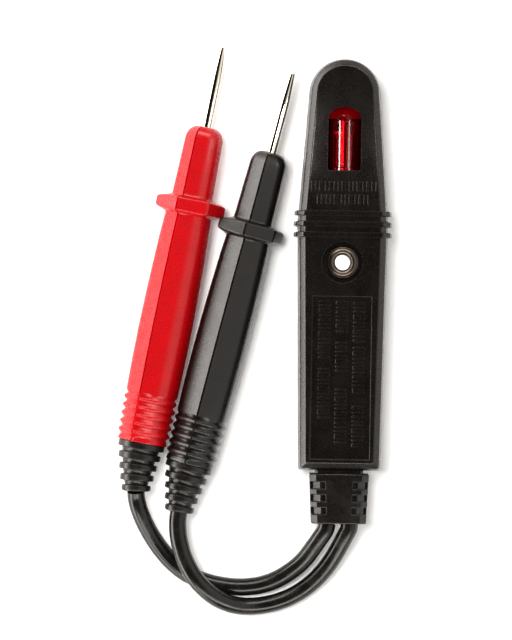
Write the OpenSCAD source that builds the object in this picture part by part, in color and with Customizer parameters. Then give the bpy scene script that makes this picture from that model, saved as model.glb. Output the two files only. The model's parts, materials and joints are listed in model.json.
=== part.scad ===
// Two-lead neon voltage tester: a slim two-shell head with an indicator window, a hollow hanging
// rivet and a rubber gland, and two test probes joined to it by short flexible leads.
// Millimetres. +Z up. The origin is on the axis of the hanging rivet, on the parting plane of the
// two shells. +Y runs along the head towards its nose, +X to the right. The back face of the head
// rests on a plane half the head's thickness below the origin, and the leads and probes with it.

/* [Head] */
// Distance from the hanging eye to the tip of the nose
head_front = 43.8; // [40:0.1:56]
// Distance from the hanging eye to the tail
head_back = 44.6; // [40:0.1:60]
// Width at the grip ribs
head_w = 19.5; // [18.5:0.1:26]
// Width at the tail
tail_w = 17.7; // [16.4:0.1:24]
// Thickness of the two shells together
head_t = 12.4; // [11.6:0.1:18]
// Radius of the nose
nose_r = 7.65; // [7:0.05:9.5]
// Wall of each shell
wall = 1.6; // [1.2:0.1:2]
// Draft of each side, from the parting plane to the edge of the face
side_draft = 0.45; // [0.2:0.05:0.8]
// Width and height of the bevel round each face
edge_bevel = 1.2; // [0.6:0.1:1.8]

/* [Grip ribs] */
// Number of ribs across the head
rib_n = 3; // [1:1:4]
// Place of the rib nearest the hanging eye
rib_y = 5.9; // [5.6:0.1:9]
// Spacing of the ribs
rib_pitch = 2.3; // [1.8:0.1:3]
// Width of one rib
rib_w = 1.2; // [0.8:0.1:1.6]
// Height of a rib at the sides
rib_h = 0.85; // [0.4:0.05:1.2]
// Height of a rib above the face
rib_face_h = 0.45; // [0.2:0.05:0.8]

/* [Window, lens and lamp] */
// Width of the window
window_w = 7; // [5:0.1:7.4]
// Bottom of the window
window_y0 = 19.7; // [17:0.1:20.5]
// Top of the window
window_y1 = 33.2; // [28:0.1:33.6]
// Rise of the window's arched top
window_rise = 2.5; // [1:0.1:3.4]
// Outside diameter of the red lens
lens_d = 7.8; // [7.6:0.1:8.6]
// Wall of the lens
lens_wall = 0.8; // [0.5:0.05:1.1]
// Length of the lens, collar to dome
lens_len = 15.2; // [14:0.1:15.6]
// Diameter of the neon lamp
lamp_d = 4.4; // [3:0.1:5.4]
// Length of the neon lamp
lamp_len = 11; // [8:0.1:12.5]
// Diameter of each electrode
electrode_d = 0.7; // [0.4:0.05:0.9]

/* [Hanging eye] */
// Bore of the hollow rivet
eye_d = 3.3; // [2.6:0.05:4.2]
// Wall of the rivet's barrel
rivet_wall = 0.4; // [0.3:0.05:0.6]
// Diameter of the rivet's flanges
flange_d = 6.8; // [6.2:0.1:7.8]
// Thickness of a flange
flange_t = 0.55; // [0.3:0.05:0.9]
// Diameter of the counterbore round a flange
counterbore_d = 8.7; // [8.2:0.1:10]
// Depth of the counterbore
counterbore_depth = 1.4; // [0.8:0.1:2]

/* [Marked panel] */
// Width of the recessed panel
panel_w = 12.6; // [8:0.1:14]
// Start of the panel below the eye
panel_y0 = 7.3; // [6:0.1:12]
// End of the panel below the eye
panel_y1 = 42.1; // [30:0.1:42.4]
// Depth of the panel
panel_depth = 0.35; // [0.1:0.05:0.6]
// Width of a raised bar
bar_w = 2.7; // [1:0.1:3.4]
// Height of a raised bar
bar_h = 0.25; // [0.1:0.05:0.4]

/* [Gland] */
// Width of the gland where it leaves the head
gland_w0 = 12.8; // [12:0.1:14.5]
// Width of the gland at the leads
gland_w1 = 11.8; // [11:0.1:14]
// Thickness of the gland
gland_t = 9; // [8:0.1:10.6]
// Length of the gland outside the head
gland_len = 10.7; // [9:0.1:16]
// Gap between the tail and the gland's shoulder
gland_gap = 0.7; // [0.4:0.1:1.5]
// Chamfer of the gland's long edges
gland_chamfer = 1.4; // [0.5:0.1:2]
// Pockets along each side
pocket_n = 3; // [1:1:3]
// Width of one pocket
pocket_w = 1.6; // [1:0.1:1.9]
// Spacing of the pockets
pocket_pitch = 2.74; // [2.4:0.02:3]
// Reach of a pocket in from the side
pocket_in = 3.4; // [2:0.1:3.6]

/* [Leads] */
// Outside diameter of each lead
lead_d = 3.8; // [3:0.1:4.6]
// Diameter of the copper conductor
conductor_d = 1.4; // [1:0.05:1.8]
// Distance between the two leads in the gland
lead_spacing = 4.8; // [4.7:0.1:5.6]

/* [Probes] */
// Diameter of the test pins
pin_d = 2; // [1.8:0.05:2.3]
// Exposed length of a pin
pin_out = 18; // [12:0.5:24]
// Length of the pin's taper
pin_taper = 6.5; // [3:0.1:9]
// Diameter of the pin's tip
pin_tip_d = 1.1; // [0.6:0.05:1.4]
// Length of a probe handle
handle_len = 69.2; // [60:0.1:85]
// Width of the handle at its grip
handle_w = 11.5; // [10.4:0.1:14]
// Width of the handle at its rear end
handle_end_w = 10.7; // [10:0.1:13]
// Width of the handle behind the finger guard
waist_w = 10; // [9.4:0.1:12]
// Width of the neck at the guard
neck_w = 8.8; // [7.6:0.1:9.4]
// Width of the neck at the pin
nose_w = 8.2; // [7:0.1:8.8]
// Length of the neck in front of the guard
neck_len = 15.4; // [10:0.1:20]
// Width of the finger guard across its wings
guard_w = 15.5; // [13:0.1:18.6]
// Height of the finger guard
guard_h = 11; // [10.4:0.1:13]
// Width of the guard's flat
guard_flat = 6.9; // [5:0.1:8]
// Thickness of the guard at the neck
guard_t0 = 3.8; // [3:0.1:5]
// Thickness of the guard at its rim
guard_t1 = 2; // [1.4:0.1:2.8]
// Rings round the rear of the handle
ring_n = 5; // [3:1:6]
// Spacing of the rings
ring_pitch = 1.78; // [1.4:0.02:2.2]

/* [Boots] */
// Rings on a boot
boot_n = 5; // [3:1:6]
// Diameter of the ring next to the handle
boot_d0 = 10; // [8.5:0.1:10.2]
// Diameter of the ring next to the lead
boot_d1 = 6.3; // [6:0.1:7.6]
// Thickness of a ring
boot_ring_t = 1.3; // [0.8:0.1:1.6]
// Spacing of the rings
boot_pitch = 2.3; // [1.8:0.05:2.8]
// Depth of the grooves between rings
boot_groove = 0.95; // [0.3:0.05:1.05]

/* [Layout] */
// Turn of the red probe, clockwise from the head
red_turn = 10.7; // [0:0.1:20]
// Turn of the black probe, clockwise from the head
black_turn = 13.9; // [0:0.1:20]
// Roll of the red probe about its own axis
red_roll = 5; // [0:1:30]
// Roll of the black probe about its own axis
black_roll = 20; // [0:1:30]
// Bend of the red boot
red_bend = 9; // [2:0.5:14]
// Bend of the black boot
black_bend = 5; // [2:0.5:14]

/* [Hidden] */
$fn = 48;

BLACK = [0.12, 0.11, 0.11];
RUBBER = [0.09, 0.085, 0.08];
RED = [0.82, 0.05, 0.09];
LENS_RED = [0.9, 0.02, 0.08, 0.6];
NICKEL = [0.72, 0.7, 0.66];
GUNMETAL = [0.3, 0.27, 0.24];
COPPER = [0.72, 0.42, 0.24];

// Clearances
slip = 0.05;      // a piece that is pushed into its hole
loose = 0.1;      // a piece that is caught between the two shells
cut = 0.5;        // how far a cutting shape runs past the face that it opens

// Head
half_t = head_t / 2;
inner_in = wall + side_draft;
face_in = side_draft + edge_bevel;
nose_y = head_front - nose_r;
shoulder_y = rib_y + rib_pitch;
nose_a = atan((head_w / 2 - nose_r) / (nose_y - shoulder_y));
nose_steps = 18;
rib_half_w = head_w / 2 - side_draft;
inner_z = half_t - wall;

// Eye
barrel_r = eye_d / 2 + rivet_wall;
eye_hole_r = barrel_r + slip;
boss_r = counterbore_d / 2 + 1;
boss_floor = half_t - counterbore_depth;

// Lens, lamp and the walls that hold them
lens_y = window_y0 - 0.7;
collar_len = 1.4;
collar_r = lens_d / 2 + 0.3;
stop_t = 1.6;
saddle_y = lens_y + 5;
lamp_wall = 0.3;
lamp_y = lens_y + 0.4;
lamp_base = 1.2;
electrode_x = 0.75;
electrode_len = lamp_len - 3;

// Gland
mouth_y = -(head_back + gland_gap + gland_len);
neck_w_in = gland_w1 - 1.6;
neck_t_in = gland_t - 1.6;
gland_flange_t = 1.5;
gland_core_in = 0.8;
gland_web = 1.5;
pocket_y = gland_gap + 1.0;

// Wiring
lead_r = lead_d / 2;
lead_x = lead_spacing / 2;
conductor_r = conductor_d / 2;
wire_r = 0.3;
wire_x = (boss_r + head_w / 2 - inner_in) / 2;
resistor_r = 1.6;
resistor_len = 9;
resistor_x = 4;
resistor_y = -boss_r - 2.6;
crimp_len = 6;
crimp_wall = 0.5;
crimp_y = resistor_y - resistor_len - 3;
jacket_in_y = crimp_y - crimp_len - 5;

// Pegs that line the shells up. The two at the tail stand beside the leads.
peg_r = 0.8;
peg_boss_r = 1.5;
peg_len = 1.5;
peg_gap = 0.15;
tail_peg_x = lead_x + lead_r + peg_gap + peg_boss_r;
pegs = [[0, nose_y + 2.2], [-tail_peg_x, 8 - head_back], [tail_peg_x, 8 - head_back]];

// Probe, measured along its axis from the rear face of the handle
guard_s = handle_len - neck_len - guard_t0 / 2;
ring_h = 0.25;
ring_s0 = 2.2;
grip_s = ring_s0 + ring_n * ring_pitch;
flat_share = 0.93;
cup_s = handle_len / 2 - 1.6;
cup_len = 7;
cup_r = 1.7;
shank_r = pin_d / 2 + 0.25;
jacket_s = handle_len / 3;
boot_plug_r = lead_r + 1.1;
boot_plug_len = 4;
boot_len = (boot_n - 1) * boot_pitch + boot_ring_t;

// The height of a probe's axis: its guard and its rear end both touch the resting plane.
function low_point(flat, half, roll) = sin(roll) * flat + cos(roll) * half;
function guard_rest(roll) = low_point(guard_flat / 2, guard_h / 2, roll);
function end_rest() = handle_w / 2 * 0.98;
function pitch(roll) = asin((guard_rest(roll) - end_rest()) / guard_s);

// Where a boot's mouth is, in the probe's own frame
function mouth_local(bend) = let (rho = boot_len / (bend * PI / 180))
    [rho * (1 - cos(bend)), -rho * sin(bend), 0];
function turned(p, tip, turn) = let (y = p[1] * cos(tip) - p[2] * sin(tip))
    let (z = p[1] * sin(tip) + p[2] * cos(tip))
    [p[0] * cos(turn) + y * sin(turn), y * cos(turn) - p[0] * sin(turn), z];
function mouth_rise(roll, bend) =
    end_rest() + turned(mouth_local(bend), pitch(roll), 0)[2] - lead_r;

// The route of each lead, from the gland to its boot: X, Y from the gland's mouth, and the
// height of the underside above the resting plane. The black lead crosses over the red one.
gland_rise = half_t - lead_r;
red_route = [
    [-lead_x, 0, gland_rise], [-lead_x - 0.3, -1.4, gland_rise - 0.1], [-3.8, -3.2, 3.7],
    [-5.4, -5.6, 2.8], [-7.4, -8.3, 1.8], [-10, -10.6, 0.9], [-12.8, -12.4, 0.3],
    [-15.8, -13.6, 0], [-19, -14.2, 0], [-22, -14.3, 0], [-25, -14, 0], [-28.2, -13.3, 0],
    [-31, -12.3, 0], [-33.6, -10.8, 0], [-36, -8.8, 0], [-38.2, -6.3, 0.3], [-40, -3.7, 0.9],
    [-41.4, -1.2, 1.7], [-42.4, 1, 2.4], [-43.1, 3, 2.9], [-43.5, 4.8, 3.2],
    [-43.6, 6.2, mouth_rise(red_roll, red_bend)]
];
black_route = [
    [lead_x, 0, gland_rise], [lead_x - 0.1, -1.1, gland_rise - 0.1], [1.6, -2.6, 3.9],
    [0.4, -5, 3.1], [-1.4, -8.2, 2], [-3.6, -11.2, 1.1], [-6.4, -13.9, 0.4],
    [-9.4, -15.9, 0.1], [-12.6, -17.3, 0], [-15.8, -18.1, 0], [-18.8, -18.4, 0.4],
    [-21.6, -18.2, 1.3], [-24.2, -17.4, 2.4], [-26.6, -16.1, 3.3], [-28.8, -14.3, 3.9],
    [-30.6, -12.3, 4.1], [-32, -10.1, 4.1], [-33.1, -7.8, 4], [-33.8, -5.6, 3.8],
    [-34.3, -3.4, 3.7], [-34.5, -1.4, 3.6], [-34.5, 0.4, 3.5],
    [-34.3, 1.9, mouth_rise(black_roll, black_bend)]
];

// ---- Shapes used by more than one sub-part ----

// A closed solid through rings of points, each ring counterclockwise seen from the last one.
module loft(rings) {
    n = len(rings[0]);
    top = (len(rings) - 1) * n;
    sides = [for (k = [0 : len(rings) - 2], i = [0 : n - 1], half = [0, 1])
        let (a = k * n + i, b = k * n + (i + 1) % n)
        half == 0 ? [a, a + n, b + n] : [a, b + n, b]];
    polyhedron(points = [for (r = rings) each r],
        faces = concat([[for (i = [0 : n - 1]) i]], sides, [[for (i = [n - 1 : -1 : 0]) top + i]]));
}

// The head's outline, moved in by a distance, at a height
function outline(inset, z) = concat(
    [[-(tail_w / 2 - inset), -(head_back - inset), z]],
    [[tail_w / 2 - inset, -(head_back - inset), z]],
    [[head_w / 2 - inset, shoulder_y, z]],
    [for (i = [0 : nose_steps]) let (a = nose_a + i * (180 - 2 * nose_a) / nose_steps)
        [(nose_r - inset) * cos(a), nose_y + (nose_r - inset) * sin(a), z]],
    [[-(head_w / 2 - inset), shoulder_y, z]]);

// Turns a shape drawn along +Z so that it runs along +Y
module along_y() {
    rotate([-90, 0, 0]) children();
}

// Half of the head's case, with its parting face on z = 0
module half_shell(front) {
    difference() {
        union() {
            difference() {
                loft([outline(0, 0), outline(side_draft, half_t - edge_bevel),
                    outline(face_in, half_t)]);
                loft([outline(inner_in, -cut), outline(inner_in, inner_z)]);
            }
            grip_ribs(front ? rib_face_h : 0);
            shell_fittings(front);
        }
        shell_cuts();
        if (front) panel_cut();
        if (!front) for (p = pegs) translate([p[0], p[1], -cut])
            cylinder(r = peg_r + slip, h = peg_len + cut + loose);
    }
    if (front) {
        raised_bars();
        for (p = pegs) translate([p[0], p[1], -peg_len]) cylinder(r = peg_r, h = peg_len + cut);
    }
}

// Ribs round both sides that stand above the face by a height
module grip_ribs(face_h) {
    x0 = head_w / 2 + rib_h;
    x1 = rib_half_w + rib_h;
    x2 = rib_half_w - edge_bevel + face_h;
    z1 = half_t - edge_bevel;
    z2 = half_t + face_h;
    difference() {
        for (i = [0 : rib_n - 1]) translate([0, rib_y + i * rib_pitch + rib_w / 2, 0])
            rotate([90, 0, 0]) linear_extrude(rib_w)
            polygon([[-x0, 0], [x0, 0], [x1, z1], [x2, z2], [-x2, z2], [-x1, z1]]);
        loft([outline(inner_in, -cut), outline(inner_in, inner_z)]);
    }
}

// Boss for the rivet, the lens's stops and saddle, and the bosses for the pegs
module shell_fittings(front) {
    cylinder(r = boss_r, h = half_t - 0.2);
    intersection() {
        union() {
            for (y = [lens_y - loose - stop_t, lens_y + lens_len + loose])
                translate([-head_w / 2, y, 0]) cube([head_w, stop_t, half_t - 0.2]);
            difference() {
                translate([-head_w / 2, saddle_y, 0]) cube([head_w, stop_t, half_t - 0.2]);
                translate([0, saddle_y - cut, 0]) along_y()
                    cylinder(r = lens_d / 2 + loose, h = stop_t + 2 * cut);
            }
            for (p = pegs) translate([p[0], p[1], 0]) cylinder(r = peg_boss_r, h = half_t - 0.2);
        }
        loft([outline(wall / 2, 0), outline(wall / 2 + side_draft, half_t - wall / 2)]);
    }
}

// Everything that passes through a shell
module shell_cuts() {
    translate([0, 0, -cut]) cylinder(r = eye_hole_r, h = head_t);
    translate([0, 0, boss_floor]) cylinder(d = counterbore_d, h = counterbore_depth + cut);
    translate([0, 0, -cut]) linear_extrude(head_t) window_shape();
    // the way through the lower lens stop for the lamp's wires
    translate([-2.2, lens_y - loose - stop_t - cut, -cut]) cube([4.4, stop_t + 2 * cut, 2 * cut]);
    // the opening in the tail for the gland's neck
    translate([-neck_w_in / 2 - slip, -head_back - cut, -cut])
        cube([neck_w_in + 2 * slip, inner_in + 2 * cut, cut + neck_t_in / 2 + slip]);
}

module window_shape() {
    arch_y = window_y1 - window_rise;
    polygon(concat([[-window_w / 2, window_y0], [window_w / 2, window_y0]],
        [for (a = [0 : 15 : 180]) [window_w / 2 * cos(a), arch_y + window_rise * sin(a)]]));
}

module panel_cut() {
    translate([-panel_w / 2, -panel_y1, half_t - panel_depth])
        cube([panel_w, panel_y1 - panel_y0, panel_depth + cut]);
}

// Plain raised bars: two under the window, and three rows along the panel
module raised_bars() {
    floor_z = half_t - panel_depth - 0.1;
    row_x = panel_w / 2 - 2.6;
    rows = [[-row_x, [[8.2, 21], [22.6, 34]]], [0, [[8.2, 15.8], [17, 24], [27, 39]]],
        [row_x, [[8.4, 17.2], [18, 28], [30.6, 39.6]]]];
    for (row = rows, run = row[1]) translate([row[0] - bar_w / 2, -run[1] - 0.4, floor_z])
        cube([bar_w, run[1] - run[0], bar_h + 0.1]);
    for (line = [[14.4, 14.2], [11.6, 11.6]])
        translate([-line[1] / 2, line[0] + 0.8, half_t - 0.1]) cube([line[1], 2.1, bar_h + 0.1]);
}

// ---- Head ----

module front_shell() {
    color(BLACK) half_shell(true);
}

module back_shell() {
    color(BLACK) mirror([0, 0, 1]) half_shell(false);
}

module indicator_lens() {
    dome_y = lens_len - lens_d / 2;
    inner_r = lens_d / 2 - lens_wall;
    color(LENS_RED) translate([0, lens_y, 0]) along_y() difference() {
        union() {
            cylinder(r = collar_r, h = collar_len);
            cylinder(r = lens_d / 2, h = dome_y);
            translate([0, 0, dome_y]) sphere(r = lens_d / 2);
        }
        translate([0, 0, -cut]) cylinder(r = inner_r, h = dome_y + cut);
        translate([0, 0, dome_y]) sphere(r = inner_r);
    }
}

module neon_lamp() {
    inner_r = lamp_d / 2 - lamp_wall;
    inner_len = lamp_len - lamp_base - lamp_wall - inner_r;
    color([0.9, 0.85, 0.8, 0.4]) translate([0, lamp_y, 0]) along_y() difference() {
        union() {
            cylinder(d = lamp_d, h = lamp_len - lamp_d / 2);
            translate([0, 0, lamp_len - lamp_d / 2]) sphere(d = lamp_d);
        }
        translate([0, 0, lamp_base]) cylinder(r = inner_r, h = inner_len);
        translate([0, 0, lamp_base + inner_len]) sphere(r = inner_r);
        for (side = [-1, 1]) translate([side * electrode_x, 0, -cut])
            cylinder(r = electrode_d / 2 + slip, h = lamp_base + 2 * cut);
    }
}

module electrode(side) {
    color(NICKEL) translate([side * electrode_x, lamp_y, 0]) along_y()
        cylinder(d = electrode_d, h = electrode_len);
}

module red_electrode() {
    electrode(-1);
}

module black_electrode() {
    electrode(1);
}

module hollow_rivet() {
    color(GUNMETAL) difference() {
        union() {
            translate([0, 0, -boss_floor]) cylinder(r = barrel_r, h = 2 * boss_floor);
            for (z = [-boss_floor - flange_t, boss_floor])
                translate([0, 0, z]) cylinder(d = flange_d, h = flange_t);
        }
        translate([0, 0, -half_t]) cylinder(d = eye_d, h = head_t);
    }
}

// The gland's cross-section, moved in by a distance, at a place along it
function gland_ring(w, inset, s) = let (x = w / 2 - inset, z = gland_t / 2 - inset)
    [for (q = [[x, z - gland_chamfer], [x - gland_chamfer, z], [-x + gland_chamfer, z],
        [-x, z - gland_chamfer], [-x, gland_chamfer - z], [gland_chamfer - x, -z],
        [x - gland_chamfer, -z], [x, gland_chamfer - z]]) [q[0], q[1], s]];

module lead_gland() {
    neck_len_in = gland_gap + inner_in + loose;
    neck_y = -head_back - gland_gap;
    color(RUBBER) difference() {
        union() {
            translate([0, mouth_y, 0]) along_y() difference() {
                loft([gland_ring(gland_w1, 0, 0), gland_ring(gland_w0, 0, gland_len)]);
                gland_pockets();
            }
            translate([0, mouth_y, 0]) along_y()
                loft([gland_ring(gland_w1, gland_core_in, 0.3),
                    gland_ring(gland_w0, gland_core_in, gland_len - 0.3)]);
            translate([-neck_w_in / 2, neck_y - 0.1, -neck_t_in / 2])
                cube([neck_w_in, neck_len_in + 0.1, neck_t_in]);
            translate([-neck_w_in / 2 - 0.9, neck_y + neck_len_in, -neck_t_in / 2 - 0.4])
                cube([neck_w_in + 1.8, gland_flange_t, neck_t_in + 0.8]);
        }
        for (side = [-1, 1]) translate([side * lead_x, mouth_y - cut, 0]) along_y()
            cylinder(r = lead_r + slip, h = gland_len + neck_len_in + gland_flange_t + 2 * cut);
    }
}

// The pockets along both sides, above and below a thin web that joins them
module gland_pockets() {
    for (i = [0 : pocket_n - 1], side = [-1, 1], face = [-1, 1])
        translate([side * (gland_w0 / 2 + cut - (pocket_in + cut) / 2),
            face * (gland_t / 4 + gland_web / 4 + cut / 2),
            gland_len - pocket_y - i * pocket_pitch - pocket_w / 2])
            cube([pocket_in + cut, gland_t / 2 - gland_web / 2 + cut, pocket_w], center = true);
}

// ---- Wiring inside the head. side is -1 for the red lead and 1 for the black one. ----

module resistor(side) {
    color([0.62, 0.5, 0.36]) translate([side * resistor_x, resistor_y - resistor_len, 0])
        along_y() {
            translate([0, 0, 1.2]) cylinder(r = resistor_r - 0.2, h = resistor_len - 2.4);
            cylinder(r = resistor_r, h = 1.8);
            translate([0, 0, resistor_len - 1.8]) cylinder(r = resistor_r, h = 1.8);
        }
}

module red_resistor() {
    resistor(-1);
}

module black_resistor() {
    resistor(1);
}

module lamp_wire(side) {
    wire_points = [[side * electrode_x, lamp_y, 0], [side * electrode_x, lamp_y - 3, 0],
        [side * wire_x, boss_r + 4, 0], [side * wire_x, 1 - boss_r, 0],
        [side * resistor_x, resistor_y + 0.8, 0], [side * resistor_x, resistor_y, 0]];
    color(NICKEL) tube(wire_points, wire_r, [0, -1, 0]);
}

module red_lamp_wire() {
    lamp_wire(-1);
}

module black_lamp_wire() {
    lamp_wire(1);
}

module splice_wire(side) {
    end_y = resistor_y - resistor_len;
    wire_points = [[side * resistor_x, end_y, 0], [side * resistor_x, end_y - 0.8, 0],
        [side * lead_x, crimp_y + 0.8, 0], [side * lead_x, crimp_y - crimp_len / 2 + 0.4, 0]];
    color(NICKEL) tube(wire_points, wire_r, [0, -1, 0]);
}

module red_splice_wire() {
    splice_wire(-1);
}

module black_splice_wire() {
    splice_wire(1);
}

module crimp(side) {
    color(COPPER) translate([side * lead_x, crimp_y - crimp_len, 0]) along_y() difference() {
        cylinder(r = conductor_r + slip + crimp_wall, h = crimp_len);
        translate([0, 0, -cut]) cylinder(r = conductor_r + slip, h = crimp_len + 2 * cut);
    }
}

module red_crimp() {
    crimp(-1);
}

module black_crimp() {
    crimp(1);
}

module head_conductor(side) {
    color(COPPER) translate([side * lead_x, mouth_y, 0]) along_y()
        cylinder(r = conductor_r, h = crimp_y - crimp_len / 2 - mouth_y);
}

module red_head_conductor() {
    head_conductor(-1);
}

module black_head_conductor() {
    head_conductor(1);
}

module head_jacket(side) {
    color(RUBBER) translate([side * lead_x, mouth_y, 0]) along_y() difference() {
        cylinder(r = lead_r, h = jacket_in_y - mouth_y);
        translate([0, 0, -cut]) cylinder(r = conductor_r + slip, h = jacket_in_y - mouth_y + 2 * cut);
    }
}

module red_head_jacket() {
    head_jacket(-1);
}

module black_head_jacket() {
    head_jacket(1);
}

// ---- The two free leads ----

function unit(v) = v / norm(v);
function placed(route) = [for (p = route) [p[0], p[1] + mouth_y, p[2] + lead_r - half_t]];

// The direction of travel at point i: straight at both ends, the mean of two runs between
function heading(p, i) = let (n = len(p) - 1)
    i == 0 ? [0, -1, 0] : i == n ? unit(p[n] - p[n - 1]) : unit(unit(p[i + 1] - p[i]) + unit(p[i] - p[i - 1]));

// One ring of the tube, on the plane square to the direction of travel
function tube_ring(c, d, r, n) = let (side = unit(cross(d, [0, 0, 1])), up = cross(side, d))
    [for (k = [0 : n - 1]) c + r * cos(k * 360 / n) * side + r * sin(k * 360 / n) * up];

module tube(p, r, end_dir) {
    n = len(p) - 1;
    loft([for (i = [n : -1 : 0]) tube_ring(p[i], i == n ? end_dir : heading(p, i), r, 8)]);
}

// The direction in which a lead enters its boot
function boot_heading(turn, roll, bend) =
    turned([-sin(bend), cos(bend), 0], pitch(roll), turn);

module red_lead() {
    color(RUBBER) tube(placed(red_route), lead_r, boot_heading(red_turn, red_roll, red_bend));
}

module black_lead() {
    color(RUBBER) tube(placed(black_route), lead_r, boot_heading(black_turn, black_roll, black_bend));
}

// ---- Probes, drawn along +Y from the rear face of the handle ----

module place_probe(route, turn, roll, bend) {
    last = placed(route)[len(route) - 1];
    translate(last - turned(mouth_local(bend), pitch(roll), turn))
        rotate([0, 0, -turn]) rotate([pitch(roll), 0, 0]) children();
}

module place_red() {
    place_probe(red_route, red_turn, red_roll, red_bend) children();
}

module place_black() {
    place_probe(black_route, black_turn, black_roll, black_bend) children();
}

// Stations along the handle: distance from the rear face, radius
function stations() = [[0, handle_end_w / 2], [grip_s, handle_w / 2 - 0.15],
    [handle_len * 0.27, handle_w / 2], [handle_len * 0.44, handle_w / 2 - 0.05],
    [handle_len * 0.62, handle_w / 4 + waist_w / 4], [guard_s - 1, waist_w / 2],
    [guard_s + 1, neck_w / 2], [handle_len, nose_w / 2]];

module handle_round() {
    st = stations();
    rings = [for (i = [0 : ring_n - 1], part = [0, 1])
        let (s = ring_s0 + (i + part / 2) * ring_pitch)
        let (r = lookup(s, st)) [part == 0 ? r + ring_h : r, s]];
    body = [for (i = [1 : len(st) - 2]) [st[i][1], st[i][0]]];
    tip = nose_w / 2;
    rotate_extrude() polygon(concat([[0, 0], [st[0][1] - 0.3, 0], [st[0][1], 0.4]], rings, body,
        [[tip, handle_len - 1.7], [tip - 0.3, handle_len - 0.8], [tip - 0.9, handle_len - 0.2],
        [tip - 1.6, handle_len], [0, handle_len]]));
}

module handle_flats() {
    loft([for (st = stations()) [for (k = [0 : 5])
        [st[1] * flat_share / cos(30) * cos(60 * k), st[1] * flat_share / cos(30) * sin(60 * k), st[0]]]]);
}

module finger_guard() {
    w = guard_w / 2;
    f = guard_flat / 2;
    h = guard_h / 2;
    r0 = neck_w / 2;
    translate([0, 0, guard_s]) intersection() {
        rotate_extrude() polygon([[0, -guard_t0 / 2], [r0, -guard_t0 / 2], [w, -guard_t1 / 2],
            [w, guard_t1 / 2], [r0, guard_t0 / 2], [0, guard_t0 / 2]]);
        translate([0, 0, -guard_t0]) linear_extrude(2 * guard_t0)
            polygon([[w, 0], [f, h], [-f, h], [-w, 0], [-f, -h], [f, -h]]);
    }
}

module probe_handle(roll) {
    along_y() rotate([0, 0, roll]) difference() {
        union() {
            intersection() {
                handle_round();
                handle_flats();
            }
            finger_guard();
        }
        translate([0, 0, -cut]) cylinder(r = boot_plug_r + slip, h = boot_plug_len + cut + loose);
        translate([0, 0, -cut]) cylinder(r = lead_r + slip, h = cup_s + cup_len + cut);
        translate([0, 0, cup_s]) cylinder(r = shank_r + slip, h = handle_len);
    }
}

module red_probe_handle() {
    color(RED) place_red() probe_handle(red_roll);
}

module black_probe_handle() {
    color(BLACK) place_black() probe_handle(black_roll);
}

// A solder cup, a shank held in the handle, and the bare round pin with its tapered tip
module probe_pin() {
    straight = pin_out - pin_taper;
    along_y() difference() {
        union() {
            translate([0, 0, cup_s]) cylinder(r = cup_r, h = cup_len);
            translate([0, 0, cup_s + cup_len - cut]) cylinder(r = shank_r, h = handle_len - cup_s - cup_len + cut);
            translate([0, 0, handle_len - cut]) cylinder(d = pin_d, h = straight + cut);
            translate([0, 0, handle_len + straight])
                cylinder(d1 = pin_d, d2 = pin_tip_d, h = pin_taper);
        }
        translate([0, 0, cup_s - cut]) cylinder(r = conductor_r + slip, h = cup_len - 1 + cut);
    }
}

module red_probe_pin() {
    color(NICKEL) place_red() probe_pin();
}

module black_probe_pin() {
    color(NICKEL) place_black() probe_pin();
}

// A stretch of a round bar that bends with the boot, between two distances behind the handle
module bent(bend, s0, s1, r) {
    rho = boot_len / (bend * PI / 180);
    translate([rho, 0, 0]) rotate([0, 0, 180 + bend * s0 / boot_len])
        rotate_extrude(angle = bend * (s1 - s0) / boot_len) translate([rho, 0]) circle(r = r);
}

module boot(bend) {
    difference() {
        union() {
            along_y() cylinder(r = boot_plug_r, h = boot_plug_len);
            for (i = [0 : boot_n - 1]) let (r = (boot_d0 + (boot_d1 - boot_d0) * i / (boot_n - 1)) / 2) {
                bent(bend, i * boot_pitch, i * boot_pitch + boot_ring_t, r);
                if (i < boot_n - 1)
                    bent(bend, (i + 0.25) * boot_pitch, (i + 1.2) * boot_pitch, r - boot_groove);
            }
        }
        union() {
            bent(bend, 0, boot_len + 1, lead_r + slip);
            along_y() cylinder(r = lead_r + slip, h = boot_plug_len + 1);
        }
    }
}

module red_boot() {
    color(RUBBER) place_red() boot(red_bend);
}

module black_boot() {
    color(RUBBER) place_black() boot(black_bend);
}

module probe_conductor(bend) {
    along_y() cylinder(r = conductor_r, h = cup_s + cup_len - 2);
    bent(bend, 0, boot_len, conductor_r);
}

module red_probe_conductor() {
    color(COPPER) place_red() probe_conductor(red_bend);
}

module black_probe_conductor() {
    color(COPPER) place_black() probe_conductor(black_bend);
}

module probe_jacket(bend) {
    difference() {
        union() {
            along_y() cylinder(r = lead_r, h = jacket_s);
            bent(bend, 0, boot_len, lead_r);
        }
        union() {
            along_y() cylinder(r = conductor_r + slip, h = jacket_s + 1);
            bent(bend, 0, boot_len + 1, conductor_r + slip);
        }
    }
}

module red_probe_jacket() {
    color(RUBBER) place_red() probe_jacket(red_bend);
}

module black_probe_jacket() {
    color(RUBBER) place_black() probe_jacket(black_bend);
}

front_shell();
back_shell();
indicator_lens();
neon_lamp();
red_electrode();
black_electrode();
hollow_rivet();
lead_gland();
red_resistor();
black_resistor();
red_lamp_wire();
black_lamp_wire();
red_splice_wire();
black_splice_wire();
red_crimp();
black_crimp();
red_head_conductor();
black_head_conductor();
red_head_jacket();
black_head_jacket();
red_lead();
black_lead();
red_probe_handle();
black_probe_handle();
red_probe_pin();
black_probe_pin();
red_boot();
black_boot();
red_probe_conductor();
black_probe_conductor();
red_probe_jacket();
black_probe_jacket();
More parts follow.
